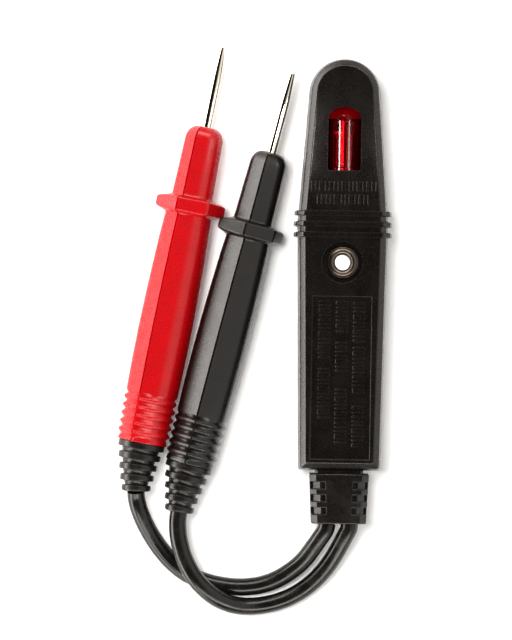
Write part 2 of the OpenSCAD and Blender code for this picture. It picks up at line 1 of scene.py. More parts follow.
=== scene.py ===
# %% [markdown]
# # A two-lead neon voltage tester
#
# The tester is a slim moulded head with a red window, a hollow hanging rivet and a rubber gland.
# Two short flexible leads join it to a red probe and a black probe with bare round pins.
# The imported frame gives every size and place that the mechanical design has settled. This file
# makes the surfaces: the mouldings, the lens, the rubber, the metal and their finishes.
#
# Shapes are drawn in millimetres, which are handy numbers for a piece of this size, and each
# finished mesh is brought to metres, because the frame is in metres.

# %% The frame
import json
import math

import bmesh
import bpy
from mathutils import Matrix, Vector


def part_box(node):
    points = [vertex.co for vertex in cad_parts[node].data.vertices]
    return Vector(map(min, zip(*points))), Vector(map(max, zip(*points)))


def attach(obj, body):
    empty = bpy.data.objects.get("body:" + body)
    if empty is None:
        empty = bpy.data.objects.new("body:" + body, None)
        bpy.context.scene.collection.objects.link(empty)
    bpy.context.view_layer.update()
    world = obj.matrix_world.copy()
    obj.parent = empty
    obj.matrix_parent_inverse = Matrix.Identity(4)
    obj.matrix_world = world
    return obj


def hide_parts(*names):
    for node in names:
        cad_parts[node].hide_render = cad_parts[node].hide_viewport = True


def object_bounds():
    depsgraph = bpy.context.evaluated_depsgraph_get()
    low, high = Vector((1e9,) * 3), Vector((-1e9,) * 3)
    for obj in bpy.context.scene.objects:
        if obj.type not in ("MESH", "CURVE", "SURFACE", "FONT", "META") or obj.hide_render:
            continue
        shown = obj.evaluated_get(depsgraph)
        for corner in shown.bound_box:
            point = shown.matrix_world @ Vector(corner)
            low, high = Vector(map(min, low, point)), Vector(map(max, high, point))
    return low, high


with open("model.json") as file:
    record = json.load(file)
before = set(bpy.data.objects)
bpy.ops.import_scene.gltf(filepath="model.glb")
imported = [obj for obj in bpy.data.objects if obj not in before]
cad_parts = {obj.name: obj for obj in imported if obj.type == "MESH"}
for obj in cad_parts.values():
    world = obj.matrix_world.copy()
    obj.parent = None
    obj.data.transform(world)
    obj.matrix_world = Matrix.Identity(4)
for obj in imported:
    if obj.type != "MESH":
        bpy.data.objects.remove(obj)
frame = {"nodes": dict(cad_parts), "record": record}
cad_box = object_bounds()
MM = 0.001


def box_mm(node):
    """Lowest and highest corner of a node of the frame, in millimetres."""
    low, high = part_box(node)
    return low / MM, high / MM


mounts = {mount["name"]: mount for mount in frame["record"]["mounts"]}
print("nodes in the frame:", len(frame["nodes"]))

# %% [markdown]
# ## The camera
#
# The tester lies flat and is seen from straight above, so a long lens a metre away keeps the
# sides of the tall probes from leaning outwards. The sensor's 36 mm is the long side of the
# picture, and the lens is worked out from the length of table that this side has to show.

# %% The camera
VIEW_LENGTH = 137.6
VIEW_CENTRE = (-18.36, -12.61)
VIEW_TURN = 0.9
CAMERA_HEIGHT = 1000.0
SENSOR = 36.0
NEAREST_SEEN = 0.05
FURTHEST_SEEN = 20

camera_data = bpy.data.cameras.new("camera")
camera_data.sensor_width = SENSOR
camera_data.lens = SENSOR * CAMERA_HEIGHT / VIEW_LENGTH
camera_data.clip_start = NEAREST_SEEN
camera_data.clip_end = FURTHEST_SEEN
camera = bpy.data.objects.new("camera", camera_data)
camera.location = (VIEW_CENTRE[0] * MM, VIEW_CENTRE[1] * MM, CAMERA_HEIGHT * MM)
camera.rotation_euler = (0, 0, math.radians(VIEW_TURN))
bpy.context.scene.collection.objects.link(camera)
bpy.context.scene.camera = camera
print("lens", round(camera_data.lens, 1), "mm")

# %% [markdown]
# ## Helpers for finishes
#
# A finish is a node tree that ends in one Principled shader. Most trees here need the same few
# kinds of node, so a short helper adds a node, sets it and joins it to what came before.
# Patterns read Object coordinates, which are metres on the object, so a noise of scale 4000 has
# grains of a quarter of a millimetre on every piece.

# %% Helpers for finishes
EDGE_SAMPLES = 6
FLAT_MATCH = 0.995
CORNER_MATCH = 0.86


def new_material(name):
    """A material with one Principled shader, as (material, node tree, shader)."""
    made = bpy.data.materials.new(name + "_finish")
    made.use_nodes = True
    return made, made.node_tree, made.node_tree.nodes["Principled BSDF"]


def add(tree, kind, inputs, **settings):
    """Adds a node. An input's value is a socket to join it to, or a constant."""
    made = tree.nodes.new("ShaderNode" + kind)
    for name, value in settings.items():
        setattr(made, name, value)
    for name, value in inputs.items():
        if isinstance(value, bpy.types.NodeSocket):
            tree.links.new(value, made.inputs[name])
        else:
            made.inputs[name].default_value = value
    return made


def on_object(tree):
    """The place on the object, in metres."""
    return add(tree, "TexCoord", {}).outputs["Object"]


def noise(tree, where, scale, detail=3.0, rough=0.5):
    """A cloudy pattern from 0 to 1 with features of 1 / scale metres."""
    made = add(tree, "TexNoise", {"Vector": where, "Scale": scale, "Detail": detail, "Roughness": rough})
    return made.outputs["Fac"]


def span(tree, value, from_low, from_high, to_low, to_high):
    """Maps one range of values to another, and holds it there."""
    made = add(tree, "MapRange", {"Value": value, "From Min": from_low, "From Max": from_high,
                                  "To Min": to_low, "To Max": to_high})
    return made.outputs["Result"]


def blend_colour(tree, share, first, second):
    """A colour between two others."""
    made = add(tree, "Mix", {"Factor": share}, data_type="RGBA")
    for socket, value in zip([s for s in made.inputs if s.type == "RGBA"], (first, second)):
        if isinstance(value, bpy.types.NodeSocket):
            tree.links.new(value, socket)
        else:
            socket.default_value = (*value, 1)
    return next(s for s in made.outputs if s.type == "RGBA")


def calculate(tree, operation, first, second):
    """One sum, product or the like."""
    made = add(tree, "Math", {0: first, 1: second}, operation=operation)
    return made.outputs[0]


def worn_edges(tree, reach, broken_by):
    """1 on sharp corners and 0 on flats: how far a rounded normal turns from the true one."""
    rounded = add(tree, "Bevel", {"Radius": reach}, samples=EDGE_SAMPLES)
    true_normal = add(tree, "NewGeometry", {})
    match = add(tree, "VectorMath", {0: rounded.outputs["Normal"], 1: true_normal.outputs["Normal"]},
                operation="DOT_PRODUCT")
    corner = span(tree, match.outputs["Value"], FLAT_MATCH, CORNER_MATCH, 0.0, 1.0)
    return calculate(tree, "MULTIPLY", corner, broken_by)


def raise_up(tree, shader, height, distance, strength=1.0, under=None):
    """Sends a height pattern to the shader as small bumps, on top of other bumps if there are any."""
    inputs = {"Height": height, "Distance": distance, "Strength": strength}
    if under is not None:
        inputs["Normal"] = under
    made = add(tree, "Bump", inputs)
    tree.links.new(made.outputs["Normal"], shader.inputs["Normal"])
    return made.outputs["Normal"]


print("finish helpers ready")

# %% [markdown]
# ## Moulded plastic
#
# The head and the handles are injection moulded. A steel mould is spark eroded or bead blasted
# before it is used, and the plastic copies that fine grain, which is why it looks satin and not
# glossy. The grain could be a picture wrapped round the part, but two noises on the object's own
# coordinates need no unwrapping and have no seams. A slow noise varies the gloss, as handling
# does, and corners are rubbed smoother and paler than the flats. A very slow, shallow noise is
# the sinking of thick plastic as it cools. The grain is at most 0.02 mm deep: a rougher one
# would spread the reflection of every light and turn black plastic grey. The red handles also
# let a little light in, which warms their corners.

# %% Moulded plastic
PLASTIC_IOR = 1.52
CLOUD_SCALE = 260
SINK_SCALE = 140
SINK_DEPTH = 0.00006
WORN_REACH = 0.00022
WORN_PATCH_SCALE = 900
WORN_GLOSS = 0.1


def moulded_plastic(name, colour, shade, corner, gloss, grain_scale, grain_height):
    """Satin plastic with a mould's grain, cloudy gloss and rubbed corners."""
    made, tree, shader = new_material(name)
    where = on_object(tree)
    cloud = noise(tree, where, CLOUD_SCALE, 4)
    speckle = noise(tree, where, grain_scale, 2, 0.6)
    body = blend_colour(tree, span(tree, cloud, 0.3, 0.7, 0, 1), colour, shade)
    worn_patches = span(tree, noise(tree, where, WORN_PATCH_SCALE), 0.35, 0.62, 0.15, 0.8)
    rubbed = worn_edges(tree, WORN_REACH, worn_patches)
    tree.links.new(blend_colour(tree, rubbed, body, corner), shader.inputs["Base Color"])
    rough = calculate(tree, "ADD", span(tree, cloud, 0.25, 0.75, gloss - 0.025, gloss + 0.03),
                      span(tree, speckle, 0.3, 0.7, -0.03, 0.04))
    tree.links.new(calculate(tree, "SUBTRACT", rough, calculate(tree, "MULTIPLY", rubbed, WORN_GLOSS)),
                   shader.inputs["Roughness"])
    shader.inputs["IOR"].default_value = PLASTIC_IOR
    sunken = raise_up(tree, shader, noise(tree, where, SINK_SCALE, 2), SINK_DEPTH, 0.5)
    raise_up(tree, shader, speckle, grain_height, 1.0, sunken)
    return made


head_plastic = moulded_plastic("head_plastic", (0.006, 0.0043, 0.0035), (0.0085, 0.0064, 0.0053),
                               (0.035, 0.031, 0.028), 0.27, 3400, 0.000014)
black_plastic = moulded_plastic("black_plastic", (0.006, 0.0043, 0.0035), (0.010, 0.0077, 0.0064),
                                (0.04, 0.036, 0.032), 0.29, 2600, 0.000020)
red_plastic = moulded_plastic("red_plastic", (0.50, 0.002, 0.007), (0.43, 0.0015, 0.005),
                              (0.60, 0.015, 0.025), 0.27, 2800, 0.000016)
RED_LET_IN = 0.12
RED_DEPTHS = (1.0, 0.12, 0.1)
RED_REACH = 0.0012
red_shader = red_plastic.node_tree.nodes["Principled BSDF"]
red_shader.inputs["Subsurface Weight"].default_value = RED_LET_IN
red_shader.inputs["Subsurface Radius"].default_value = RED_DEPTHS
red_shader.inputs["Subsurface Scale"].default_value = RED_REACH
print("plastics:", head_plastic.name, black_plastic.name, red_plastic.name)

# %% [markdown]
# ## Rubber and the leads' jackets
#
# The boots and the gland are soft black vinyl, a little duller than the plastic, with dust held
# in their grooves. The leads' jackets are extruded through a smooth die, so they are glossier,
# with very faint streaks along them, and they pick up scuffs where they touch the bench.

# %% Rubber
RUBBER_IOR = 1.5


def rubber(name, colour, dusty, gloss, grain_scale, grain_height, dust):
    """Black vinyl with a fine skin and a little dust."""
    made, tree, shader = new_material(name)
    where = on_object(tree)
    cloud = noise(tree, where, 330, 4, 0.6)
    skin = noise(tree, where, grain_scale, 3, 0.65)
    tree.links.new(blend_colour(tree, span(tree, cloud, 0.45, 0.8, 0, dust), colour, dusty),
                   shader.inputs["Base Color"])
    rough = calculate(tree, "ADD", span(tree, cloud, 0.3, 0.75, gloss - 0.05, gloss + 0.1),
                      span(tree, skin, 0.3, 0.7, -0.03, 0.04))
    tree.links.new(rough, shader.inputs["Roughness"])
    shader.inputs["IOR"].default_value = RUBBER_IOR
    raise_up(tree, shader, skin, grain_height)
    return made


boot_rubber = rubber("boot_rubber", (0.0095, 0.008, 0.007), (0.05, 0.045, 0.04), 0.30, 2600, 0.000014, 0.3)
gland_rubber = rubber("gland_rubber", (0.0095, 0.008, 0.007), (0.04, 0.036, 0.032), 0.28, 2800, 0.000012, 0.3)
lead_rubber = rubber("lead_rubber", (0.009, 0.0076, 0.0067), (0.03, 0.027, 0.024), 0.22, 1400, 0.000004, 0.25)
print("rubbers:", boot_rubber.name, gland_rubber.name, lead_rubber.name)

# %% [markdown]
# ## Metals
#
# The pins are drawn brass rod with bright nickel plate, and drawing leaves fine lines along them.
# The rivet is a darker plate that has been rolled over by a tool, so its lines run round it.
# Copper, tin and the crimps inside the head are plainer, but each keeps its own lines or dents.
# Stretching a noise along one axis makes it into lines: the Mapping node's scale does that. The
# pins don't lie along an axis, so a first Mapping node turns the lines to the pins' own way.

# %% Metals
def metal(name, colour, tarnish, gloss, stretch, scale, depth, spots=0.25, turn=0.0):
    """A metal with drawn or turned lines, turned about Z in degrees, and patches of tarnish."""
    made, tree, shader = new_material(name)
    where = on_object(tree)
    turned = add(tree, "Mapping", {"Vector": where, "Rotation": (0, 0, math.radians(turn))})
    stretched = add(tree, "Mapping", {"Vector": turned.outputs["Vector"], "Scale": stretch})
    lines = noise(tree, stretched.outputs["Vector"], scale, 4, 0.6)
    patches = noise(tree, where, 700, 5, 0.6)
    tree.links.new(blend_colour(tree, span(tree, patches, 0.5, 0.8, 0, spots), colour, tarnish),
                   shader.inputs["Base Color"])
    rough = calculate(tree, "ADD", span(tree, lines, 0.3, 0.7, gloss - 0.03, gloss + 0.05),
                      span(tree, patches, 0.45, 0.8, 0, 0.12))
    tree.links.new(rough, shader.inputs["Roughness"])
    shader.inputs["Metallic"].default_value = 1.0
    raise_up(tree, shader, lines, depth)
    return made


PIN_TURN = 12.3
pin_metal = metal("pin_metal", (0.76, 0.71, 0.62), (0.55, 0.48, 0.38), 0.10, (1, 0.03, 1), 5000,
                  0.0000008, 0.2, PIN_TURN)
rivet_metal = metal("rivet_metal", (0.15, 0.122, 0.10), (0.05, 0.04, 0.033), 0.30, (1, 1, 1), 2600,
                    0.00002, 0.6)
electrode_nickel = metal("electrode_nickel", (0.62, 0.58, 0.54), (0.3, 0.27, 0.25), 0.35, (1, 0.1, 1), 4000,
                         0.000006)
wire_metal = metal("wire_metal", (0.70, 0.69, 0.66), (0.40, 0.39, 0.37), 0.25, (1, 0.1, 1), 4000, 0.000006)
crimp_metal = metal("crimp_metal", (0.75, 0.58, 0.30), (0.35, 0.24, 0.12), 0.30, (1, 0.3, 1), 3000, 0.00001)
copper = metal("copper", (0.80, 0.42, 0.25), (0.35, 0.16, 0.09), 0.28, (1, 0.08, 1), 3500, 0.000012)
print("metals ready")

# %% [markdown]
# ## The red lens, the lamp's glass and the resistors
#
# The lens is clear acrylic dyed red all the way through. Light that enters it on one side comes
# out red on the other, so the colour has to come from transmission and not from the surface. A
# few hundredths are left as plain red, which stands for the cloudiness of the dye. A little haze
# from moulding is a slow change of roughness. The lamp's bulb is thin clear glass.
# A resistor is a lacquered ceramic rod, and its coloured bands are rings at fixed places along
# it: a wave pattern is no use for that, so each band is a test on the distance along the rod.

# %% Lens, glass and resistors
CLEAR_RIPPLE = 0.000003


def clear_material(name, colour, gloss, ior, haze):
    """A clear solid with a faint haze."""
    made, tree, shader = new_material(name)
    cloud = noise(tree, on_object(tree), 500, 3)
    tree.links.new(span(tree, cloud, 0.3, 0.7, gloss, gloss + haze), shader.inputs["Roughness"])
    shader.inputs["Base Color"].default_value = (*colour, 1)
    shader.inputs["IOR"].default_value = ior
    shader.inputs["Transmission Weight"].default_value = 1.0
    raise_up(tree, shader, cloud, CLEAR_RIPPLE, 0.4)
    return made


LENS_CLEARNESS = 0.96
red_lens = clear_material("red_lens", (0.62, 0.002, 0.012), 0.02, 1.55, 0.03)
lens_shader = red_lens.node_tree.nodes["Principled BSDF"]
lens_shader.inputs["Transmission Weight"].default_value = LENS_CLEARNESS
lamp_glass = clear_material("lamp_glass", (0.95, 0.93, 0.91), 0.01, 1.5, 0.03)


BAND_SHARE = 0.045
BANDS = ((0.2, (0.35, 0.10, 0.03)), (0.36, (0.02, 0.02, 0.02)), (0.52, (0.75, 0.55, 0.05)),
         (0.74, (0.50, 0.35, 0.08)))


def resistor_lacquer(end_y, length):
    """Lacquer with four bands across a rod that runs along Y and ends at end_y, in metres."""
    made, tree, shader = new_material("resistor_body")
    where = on_object(tree)
    along = add(tree, "SeparateXYZ", {"Vector": where}).outputs["Y"]
    skin = noise(tree, where, 1800, 3)
    colour = blend_colour(tree, skin, (0.60, 0.45, 0.28), (0.48, 0.35, 0.21))
    band_half = length * BAND_SHARE
    for place, band in BANDS:
        away = calculate(tree, "ABSOLUTE", calculate(tree, "SUBTRACT", along, end_y + place * length), 0)
        colour = blend_colour(tree, calculate(tree, "LESS_THAN", away, band_half), colour, band)
    tree.links.new(colour, shader.inputs["Base Color"])
    tree.links.new(span(tree, skin, 0.3, 0.7, 0.25, 0.38), shader.inputs["Roughness"])
    raise_up(tree, shader, skin, 0.00004)
    return made


resistor_low, resistor_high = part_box("red_resistor")
resistor_body = resistor_lacquer(resistor_low.y, resistor_high.y - resistor_low.y)
print("resistor length", round((resistor_high.y - resistor_low.y) / MM, 1), "mm")

# %% [markdown]
# ## The leads
#
# Each lead is about 60 mm of flexible wire, 3.8 mm thick. It comes straight out of the gland,
# drops to the bench, runs left and turns up into its probe's boot. The black lead crosses over
# the red one. A lead could be a swept mesh, but a curve with a round bevel is easier to read
# and to change: its points are the route, and Blender makes the tube.
#
# A route point gives X, Y measured from the gland's mouth, and the height of the lead's
# underside above the bench, so a zero means that the lead rests on it.

# %% The routes
LEAD_RADIUS = (box_mm("red_head_jacket")[1].x - box_mm("red_head_jacket")[0].x) / 2
LEAD_X = box_mm("black_head_jacket")[1].x - LEAD_RADIUS
MOUTH_Y = box_mm("lead_gland")[0].y
BENCH_Z = box_mm("back_shell")[0].z
GLAND_RISE = -BENCH_Z - LEAD_RADIUS

RED_ROUTE = [
    (-LEAD_X, 0, GLAND_RISE), (-LEAD_X - 0.3, -1.4, GLAND_RISE - 0.1), (-3.8, -3.2, 3.7),
    (-5.4, -5.6, 2.8), (-7.4, -8.3, 1.8), (-10, -10.6, 0.9), (-12.8, -12.4, 0.3),
    (-15.8, -13.6, 0), (-19, -14.2, 0), (-22, -14.3, 0), (-25, -14, 0), (-28.2, -13.3, 0),
    (-31, -12.3, 0), (-33.6, -10.8, 0), (-36, -8.8, 0), (-38.2, -6.3, 0.3), (-40, -3.7, 0.9),
    (-41.4, -1.2, 1.7), (-42.4, 1, 2.4), (-43.1, 3, 2.9), (-43.5, 4.8, 3.2),
]
BLACK_ROUTE = [
    (LEAD_X, 0, GLAND_RISE), (LEAD_X - 0.1, -1.1, GLAND_RISE - 0.1), (1.6, -2.6, 3.9),
    (0.4, -5, 3.1), (-1.4, -8.2, 2), (-3.6, -11.2, 1.1), (-6.4, -13.9, 0.4), (-9.4, -15.9, 0.1),
    (-12.6, -17.3, 0), (-15.8, -18.1, 0), (-18.8, -18.4, 0.4), (-21.6, -18.2, 1.3),
    (-24.2, -17.4, 2.4), (-26.6, -16.1, 3.3), (-28.8, -14.3, 3.9), (-30.6, -12.3, 4.1),
    (-32, -10.1, 4.1), (-33.1, -7.8, 4), (-33.8, -5.6, 3.8), (-34.3, -3.4, 3.7),
    (-34.5, -1.4, 3.6), (-34.5, 0.4, 3.5),
]
print("lead", round(2 * LEAD_RADIUS, 2), "mm thick, mouth at", round(MOUTH_Y, 1))

# %% [markdown]
# ## Where each probe lies
#
# A probe is drawn along +Y from the middle of its handle's rear face, with +Z up, and then put
# where the frame's pin mount says. The mount gives the pin's direction and a point on it, so
# the rear face is a known distance back from that point. The probe's own X lies level.

# %% Where each probe lies
HANDLE_LENGTH = 69.2
PIN_OUT = 18.0
PIN_TAPER = 6.5
PIN_STRAIGHT = PIN_OUT - PIN_TAPER
BOOT_RINGS = 5
BOOT_PITCH = 2.3
BOOT_RING_LENGTH = 1.3
BOOT_LENGTH = (BOOT_RINGS - 1) * BOOT_PITCH + BOOT_RING_LENGTH


def probe_seat(colour):
    """The move that takes a probe from its drawing to its place, in millimetres."""
    mount = mounts[colour + "_pin"]
    along = Vector(mount["axis"]).normalized()
    rear = Vector(mount["pos_m"]) / MM - along * (HANDLE_LENGTH + PIN_STRAIGHT / 2)
    level = along.cross(Vector((0, 0, 1))).normalized()
    turn = Matrix((level, along, level.cross(along))).transposed().to_4x4()
    return Matrix.Translation(rear) @ turn


def boot_bend(place, bend):
    """Bends a point that lies behind the handle (negative Y) round an arc of that angle."""
    arc = BOOT_LENGTH / math.radians(bend)
    if place.y >= 0:
        return place
    turned = -place.y / arc
    out = arc - place.x
    return Vector((arc - out * math.cos(turned), -out * math.sin(turned), place.z))


PROBES = {
    "red": {"seat": probe_seat("red"), "roll": 5.0, "bend": 9.0, "route": RED_ROUTE},
    "black": {"seat": probe_seat("black"), "roll": 20.0, "bend": 5.0, "route": BLACK_ROUTE},
}
for colour, probe in PROBES.items():
    mouth = probe["seat"] @ boot_bend(Vector((0, -BOOT_LENGTH, 0)), probe["bend"])
    probe["mouth"] = mouth
    print(colour, "boot's mouth at", [round(c, 2) for c in mouth])

# %% [markdown]
# ## Laying the leads
#
# The route's last point is the boot's mouth, worked out from the probe. Automatic Bezier handles
# give a smooth bend through every point.

# %% Laying the leads
def lay_lead(colour, probe):
    """The free lead from the gland to the probe's boot, as a curve with a round bevel."""
    places = [Vector((x, y + MOUTH_Y, z + LEAD_RADIUS + BENCH_Z)) * MM for x, y, z in probe["route"]]
    places.append(probe["mouth"] * MM)
    line = bpy.data.curves.new(colour + "_flexible_lead", "CURVE")
    line.dimensions = "3D"
    line.bevel_depth = LEAD_RADIUS * MM
    line.bevel_resolution = 6
    line.resolution_u = 6
    line.use_fill_caps = True
    spline = line.splines.new("BEZIER")
    spline.bezier_points.add(len(places) - 1)
    for point, place in zip(spline.bezier_points, places):
        point.co = place
        point.handle_left_type = "AUTO"
        point.handle_right_type = "AUTO"
    line.materials.append(lead_rubber)
    piece = bpy.data.objects.new(colour + "_flexible_lead", line)
    bpy.context.scene.collection.objects.link(piece)
    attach(piece, "root")
    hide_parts(colour + "_lead")


for colour, probe in PROBES.items():
    lay_lead(colour, probe)

# %% [markdown]
# ## Helpers for meshes
#
# Nearly every moulding here is one closed skin that grows from a ring of edges. A ring comes
# from Blender's circle with its points moved to a drawn outline. Extruding its edges gives a
# twin ring, and moving the twins to the next outline makes a band of wall. Flat areas with
# holes are filled by the triangle filler. Turned parts are a profile spun round an axis.

# %% Helpers for meshes
def ring(bm, places):
    """A closed ring of points and edges through the places, in order."""
    made = bmesh.ops.create_circle(bm, segments=len(places), radius=1)["verts"]
    for point, place in zip(made, places):
        point.co = place
    return made


def ring_edges(points):
    """The edges that join a ring's points, in order."""
    found = []
    for first, second in zip(points, points[1:] + points[:1]):
        found.append(next(e for e in first.link_edges if e.other_vert(first) == second))
    return found


def grow(bm, points, places):
    """Extrudes a ring of edges and moves the twin ring to new places."""
    made = bmesh.ops.extrude_edge_only(bm, edges=ring_edges(points))["geom"]
    fresh = {item for item in made if isinstance(item, bmesh.types.BMVert)}
    twins = [next(e.other_vert(p) for e in p.link_edges if e.other_vert(p) in fresh) for p in points]
    for twin, place in zip(twins, places):
        twin.co = place
    return twins


def grow_through(bm, points, outlines):
    """Grows a ring through several outlines and gives the last ring."""
    for places in outlines:
        points = grow(bm, points, places)
    return points


def fill_flat(bm, edges):
    """Fills a flat area that its outer edges and its holes' edges bound."""
    bmesh.ops.triangle_fill(bm, use_beauty=True, use_dissolve=False, edges=edges, normal=(0, 0, 1))


def fillet(path, radii, steps=4, closed=False):
    """Rounds the corners of a 2-D path. A radius of 0 leaves a corner as it is."""
    made = []
    count = len(path)
    for i, (corner, radius) in enumerate(zip(path, radii)):
        corner = Vector(corner)
        if radius == 0 or (not closed and i in (0, count - 1)):
            made.append(corner)
            continue
        to_last = (Vector(path[i - 1]) - corner).normalized()
        to_next = (Vector(path[(i + 1) % count]) - corner).normalized()
        half = to_last.angle(to_next) / 2
        centre = corner + (to_last + to_next).normalized() * radius / math.sin(half)
        start = corner + to_last * radius / math.tan(half) - centre
        end = corner + to_next * radius / math.tan(half) - centre
        made += [centre + start.slerp(end, k / steps) * radius for k in range(steps + 1)]
    return made


def circle_at(radius, z, segments=64, centre=(0, 0)):
    """Places round a level circle."""
    turns = [2 * math.pi * k / segments for k in range(segments)]
    return [Vector((centre[0] + radius * math.cos(a), centre[1] + radius * math.sin(a), z)) for a in turns]


def spin_profile(profile, closed, segments=64):
    """A turned part: a profile of (radius, height) points spun round Z."""
    bm = bmesh.new()
    points = [bm.verts.new((r, 0, h)) for r, h in profile]
    pairs = list(zip(points, points[1:] + points[:1])) if closed else list(zip(points, points[1:]))
    edges = [bm.edges.new(pair) for pair in pairs]
    bmesh.ops.spin(bm, geom=points + edges, cent=(0, 0, 0), axis=(0, 0, 1), angle=2 * math.pi,
                   steps=segments, use_merge=True)
    return bm


ALONG_Y = Matrix.Rotation(math.radians(-90), 4, "X")
MERGE_DISTANCE = 0.002


def finish_piece(bm, name, material, nodes, sharp=35):
    """Closes a mesh, brings it to metres and makes it a piece that stands for nodes of the frame."""
    bmesh.ops.remove_doubles(bm, verts=bm.verts, dist=MERGE_DISTANCE)
    bmesh.ops.recalc_face_normals(bm, faces=bm.faces)
    for edge in bm.edges:
        edge.smooth = len(edge.link_faces) == 2 and edge.calc_face_angle() < math.radians(sharp)
    for face in bm.faces:
        face.smooth = True
    open_edges = sum(1 for edge in bm.edges if len(edge.link_faces) != 2)
    bmesh.ops.scale(bm, vec=(MM, MM, MM), verts=bm.verts)
    mesh = bpy.data.meshes.new(name)
    bm.to_mesh(mesh)
    bm.free()
    mesh.materials.append(material)
    piece = bpy.data.objects.new(name, mesh)
    bpy.context.scene.collection.objects.link(piece)
    shading = piece.modifiers.new("even_shading", "WEIGHTED_NORMAL")
    shading.keep_sharp = True
    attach(piece, "root")
    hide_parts(*nodes)
    print(name, len(mesh.polygons), "faces,", open_edges, "open edges")
    return piece


# %% [markdown]
# ## The outline of the head
#
# Seen from above the head is a long wedge: straight sides that widen from the tail to the grip
# ribs, then close in to a round nose. Every wall of both shells follows this outline, moved in
# by some distance. The outline also carries extra points where the ribs start, crest and end,
# so that the ribs can rise out of the same skin instead of being stuck on. At the tail it
# steps up over the way that the rubber gland's neck comes through.

# %% The outline of the head
HALF_T = -BENCH_Z
HEAD_FRONT = box_mm("front_shell")[1].y
HEAD_BACK = -box_mm("front_shell")[0].y
HEAD_W = 19.5
TAIL_W = 17.7
NOSE_R = 7.65
WALL = 1.6
SIDE_DRAFT = 0.45
EDGE_BEVEL = 1.2
INNER_IN = WALL + SIDE_DRAFT
INNER_Z = HALF_T - WALL
NOSE_Y = HEAD_FRONT - NOSE_R
TAIL_CORNER = 0.35
RIB_COUNT = 3
RIB_Y = 5.9
RIB_PITCH = 2.3
RIB_WIDTH = 1.2
RIB_HEIGHT = box_mm("front_shell")[1].x - HEAD_W / 2
RIB_FACE_HEIGHT = box_mm("front_shell")[1].z - HALF_T
SHOULDER_Y = RIB_Y + RIB_PITCH
NOSE_ANGLE = math.atan((HEAD_W / 2 - NOSE_R) / (NOSE_Y - SHOULDER_Y))
NOSE_STEPS = 40
GLAND_WAY_X = 5.15
GLAND_WAY_Z = 3.8
GLAND_WAY_SLOPE = 0.05
GLAND_WAY_RISE = 0.01

# A rib's section: each point's share of its width and share of its height.
RIB_SECTION = [(0.0, 0.0), (0.04, 0.62), (0.14, 0.93), (0.28, 1.0), (0.72, 1.0), (0.86, 0.93),
               (0.96, 0.62), (1.0, 0.0)]
rib_stations = [(RIB_Y - RIB_WIDTH / 2 + i * RIB_PITCH + share * RIB_WIDTH, rise)
                for i in range(RIB_COUNT) for share, rise in RIB_SECTION]


def side_x(y, inset):
    """How far the straight side stands from the middle at y, moved in by a distance."""
    tail_y = -(HEAD_BACK - inset)
    if y <= SHOULDER_Y:
        share = (y - tail_y) / (SHOULDER_Y - tail_y)
        return TAIL_W / 2 - inset + share * (HEAD_W - TAIL_W) / 2
    end_x = (NOSE_R - inset) * math.cos(NOSE_ANGLE)
    end_y = NOSE_Y + (NOSE_R - inset) * math.sin(NOSE_ANGLE)
    share = (y - SHOULDER_Y) / (end_y - SHOULDER_Y)
    return HEAD_W / 2 - inset + share * (end_x - (HEAD_W / 2 - inset))


def head_outline(inset):
    """Points round the head, counterclockwise from the tail's left end: (x, y, rib share, step)."""
    tail_y = -(HEAD_BACK - inset)
    corner_x = TAIL_W / 2 - inset
    low_x = GLAND_WAY_X
    high_x = GLAND_WAY_X - GLAND_WAY_SLOPE
    tail = [(-corner_x + TAIL_CORNER, tail_y, 0, 0), (-low_x, tail_y, 0, 0), (-high_x, tail_y, 0, 1),
            (high_x, tail_y, 0, 1), (low_x, tail_y, 0, 0), (corner_x - TAIL_CORNER, tail_y, 0, 0)]
    right = [(side_x(tail_y + TAIL_CORNER, inset), tail_y + TAIL_CORNER, 0, 0)]
    right += [(side_x(y, inset), y, rise, 0) for y, rise in rib_stations]
    arc = [NOSE_ANGLE + k * (math.pi - 2 * NOSE_ANGLE) / NOSE_STEPS for k in range(NOSE_STEPS + 1)]
    reach = NOSE_R - inset
    nose = [(reach * math.cos(a), NOSE_Y + reach * math.sin(a), 0, 0) for a in arc]
    left = [(-x, y, rise, step) for x, y, rise, step in reversed(right)]
    return tail + right + nose + left


TAIL_POINTS = 6
FIRST_RIB_POINT = TAIL_POINTS + 1
LAST_RIB_POINT = FIRST_RIB_POINT + len(rib_stations) - 1
POINT_COUNT = len(head_outline(0))
print("outline of", POINT_COUNT, "points, nose radius", NOSE_R, "mm")

# %% [markdown]
# ## The levels of a shell's skin
#
# From the parting line a side wall rises with a little draft, so that the part leaves its
# mould, then leans in along a wide bevel to the flat face. Both corners of the bevel are
# rounded. At the parting line a tiny chamfer gives the fine dark seam that is seen between two
# mouldings. The ribs stand out sideways from the wall and upwards from the face.

# %% The levels of a shell's skin
SEAM = 0.12
side_levels = fillet(
    [(SEAM, 0), (0, SEAM), (SIDE_DRAFT, HALF_T - EDGE_BEVEL), (SIDE_DRAFT + EDGE_BEVEL, HALF_T),
     (SIDE_DRAFT + EDGE_BEVEL + 1, HALF_T)],
    [0, 0, 0.7, 0.55, 0])[:-1]


def skin_level(inset, z, face_height):
    """The outline at one level of the skin, with the ribs' rise in it."""
    share = min(max((z - (HALF_T - EDGE_BEVEL)) / EDGE_BEVEL, 0), 1)
    out = RIB_HEIGHT + share * (face_height - RIB_HEIGHT)
    up = share * face_height
    places = []
    for x, y, rise, step in head_outline(inset):
        side = math.copysign(rise * out, x)
        height = max(z, GLAND_WAY_Z + z * GLAND_WAY_RISE) if step else z
        places.append(Vector((x + side, y, height + rise * up)))
    return places


print("a shell's skin has", len(side_levels), "levels")

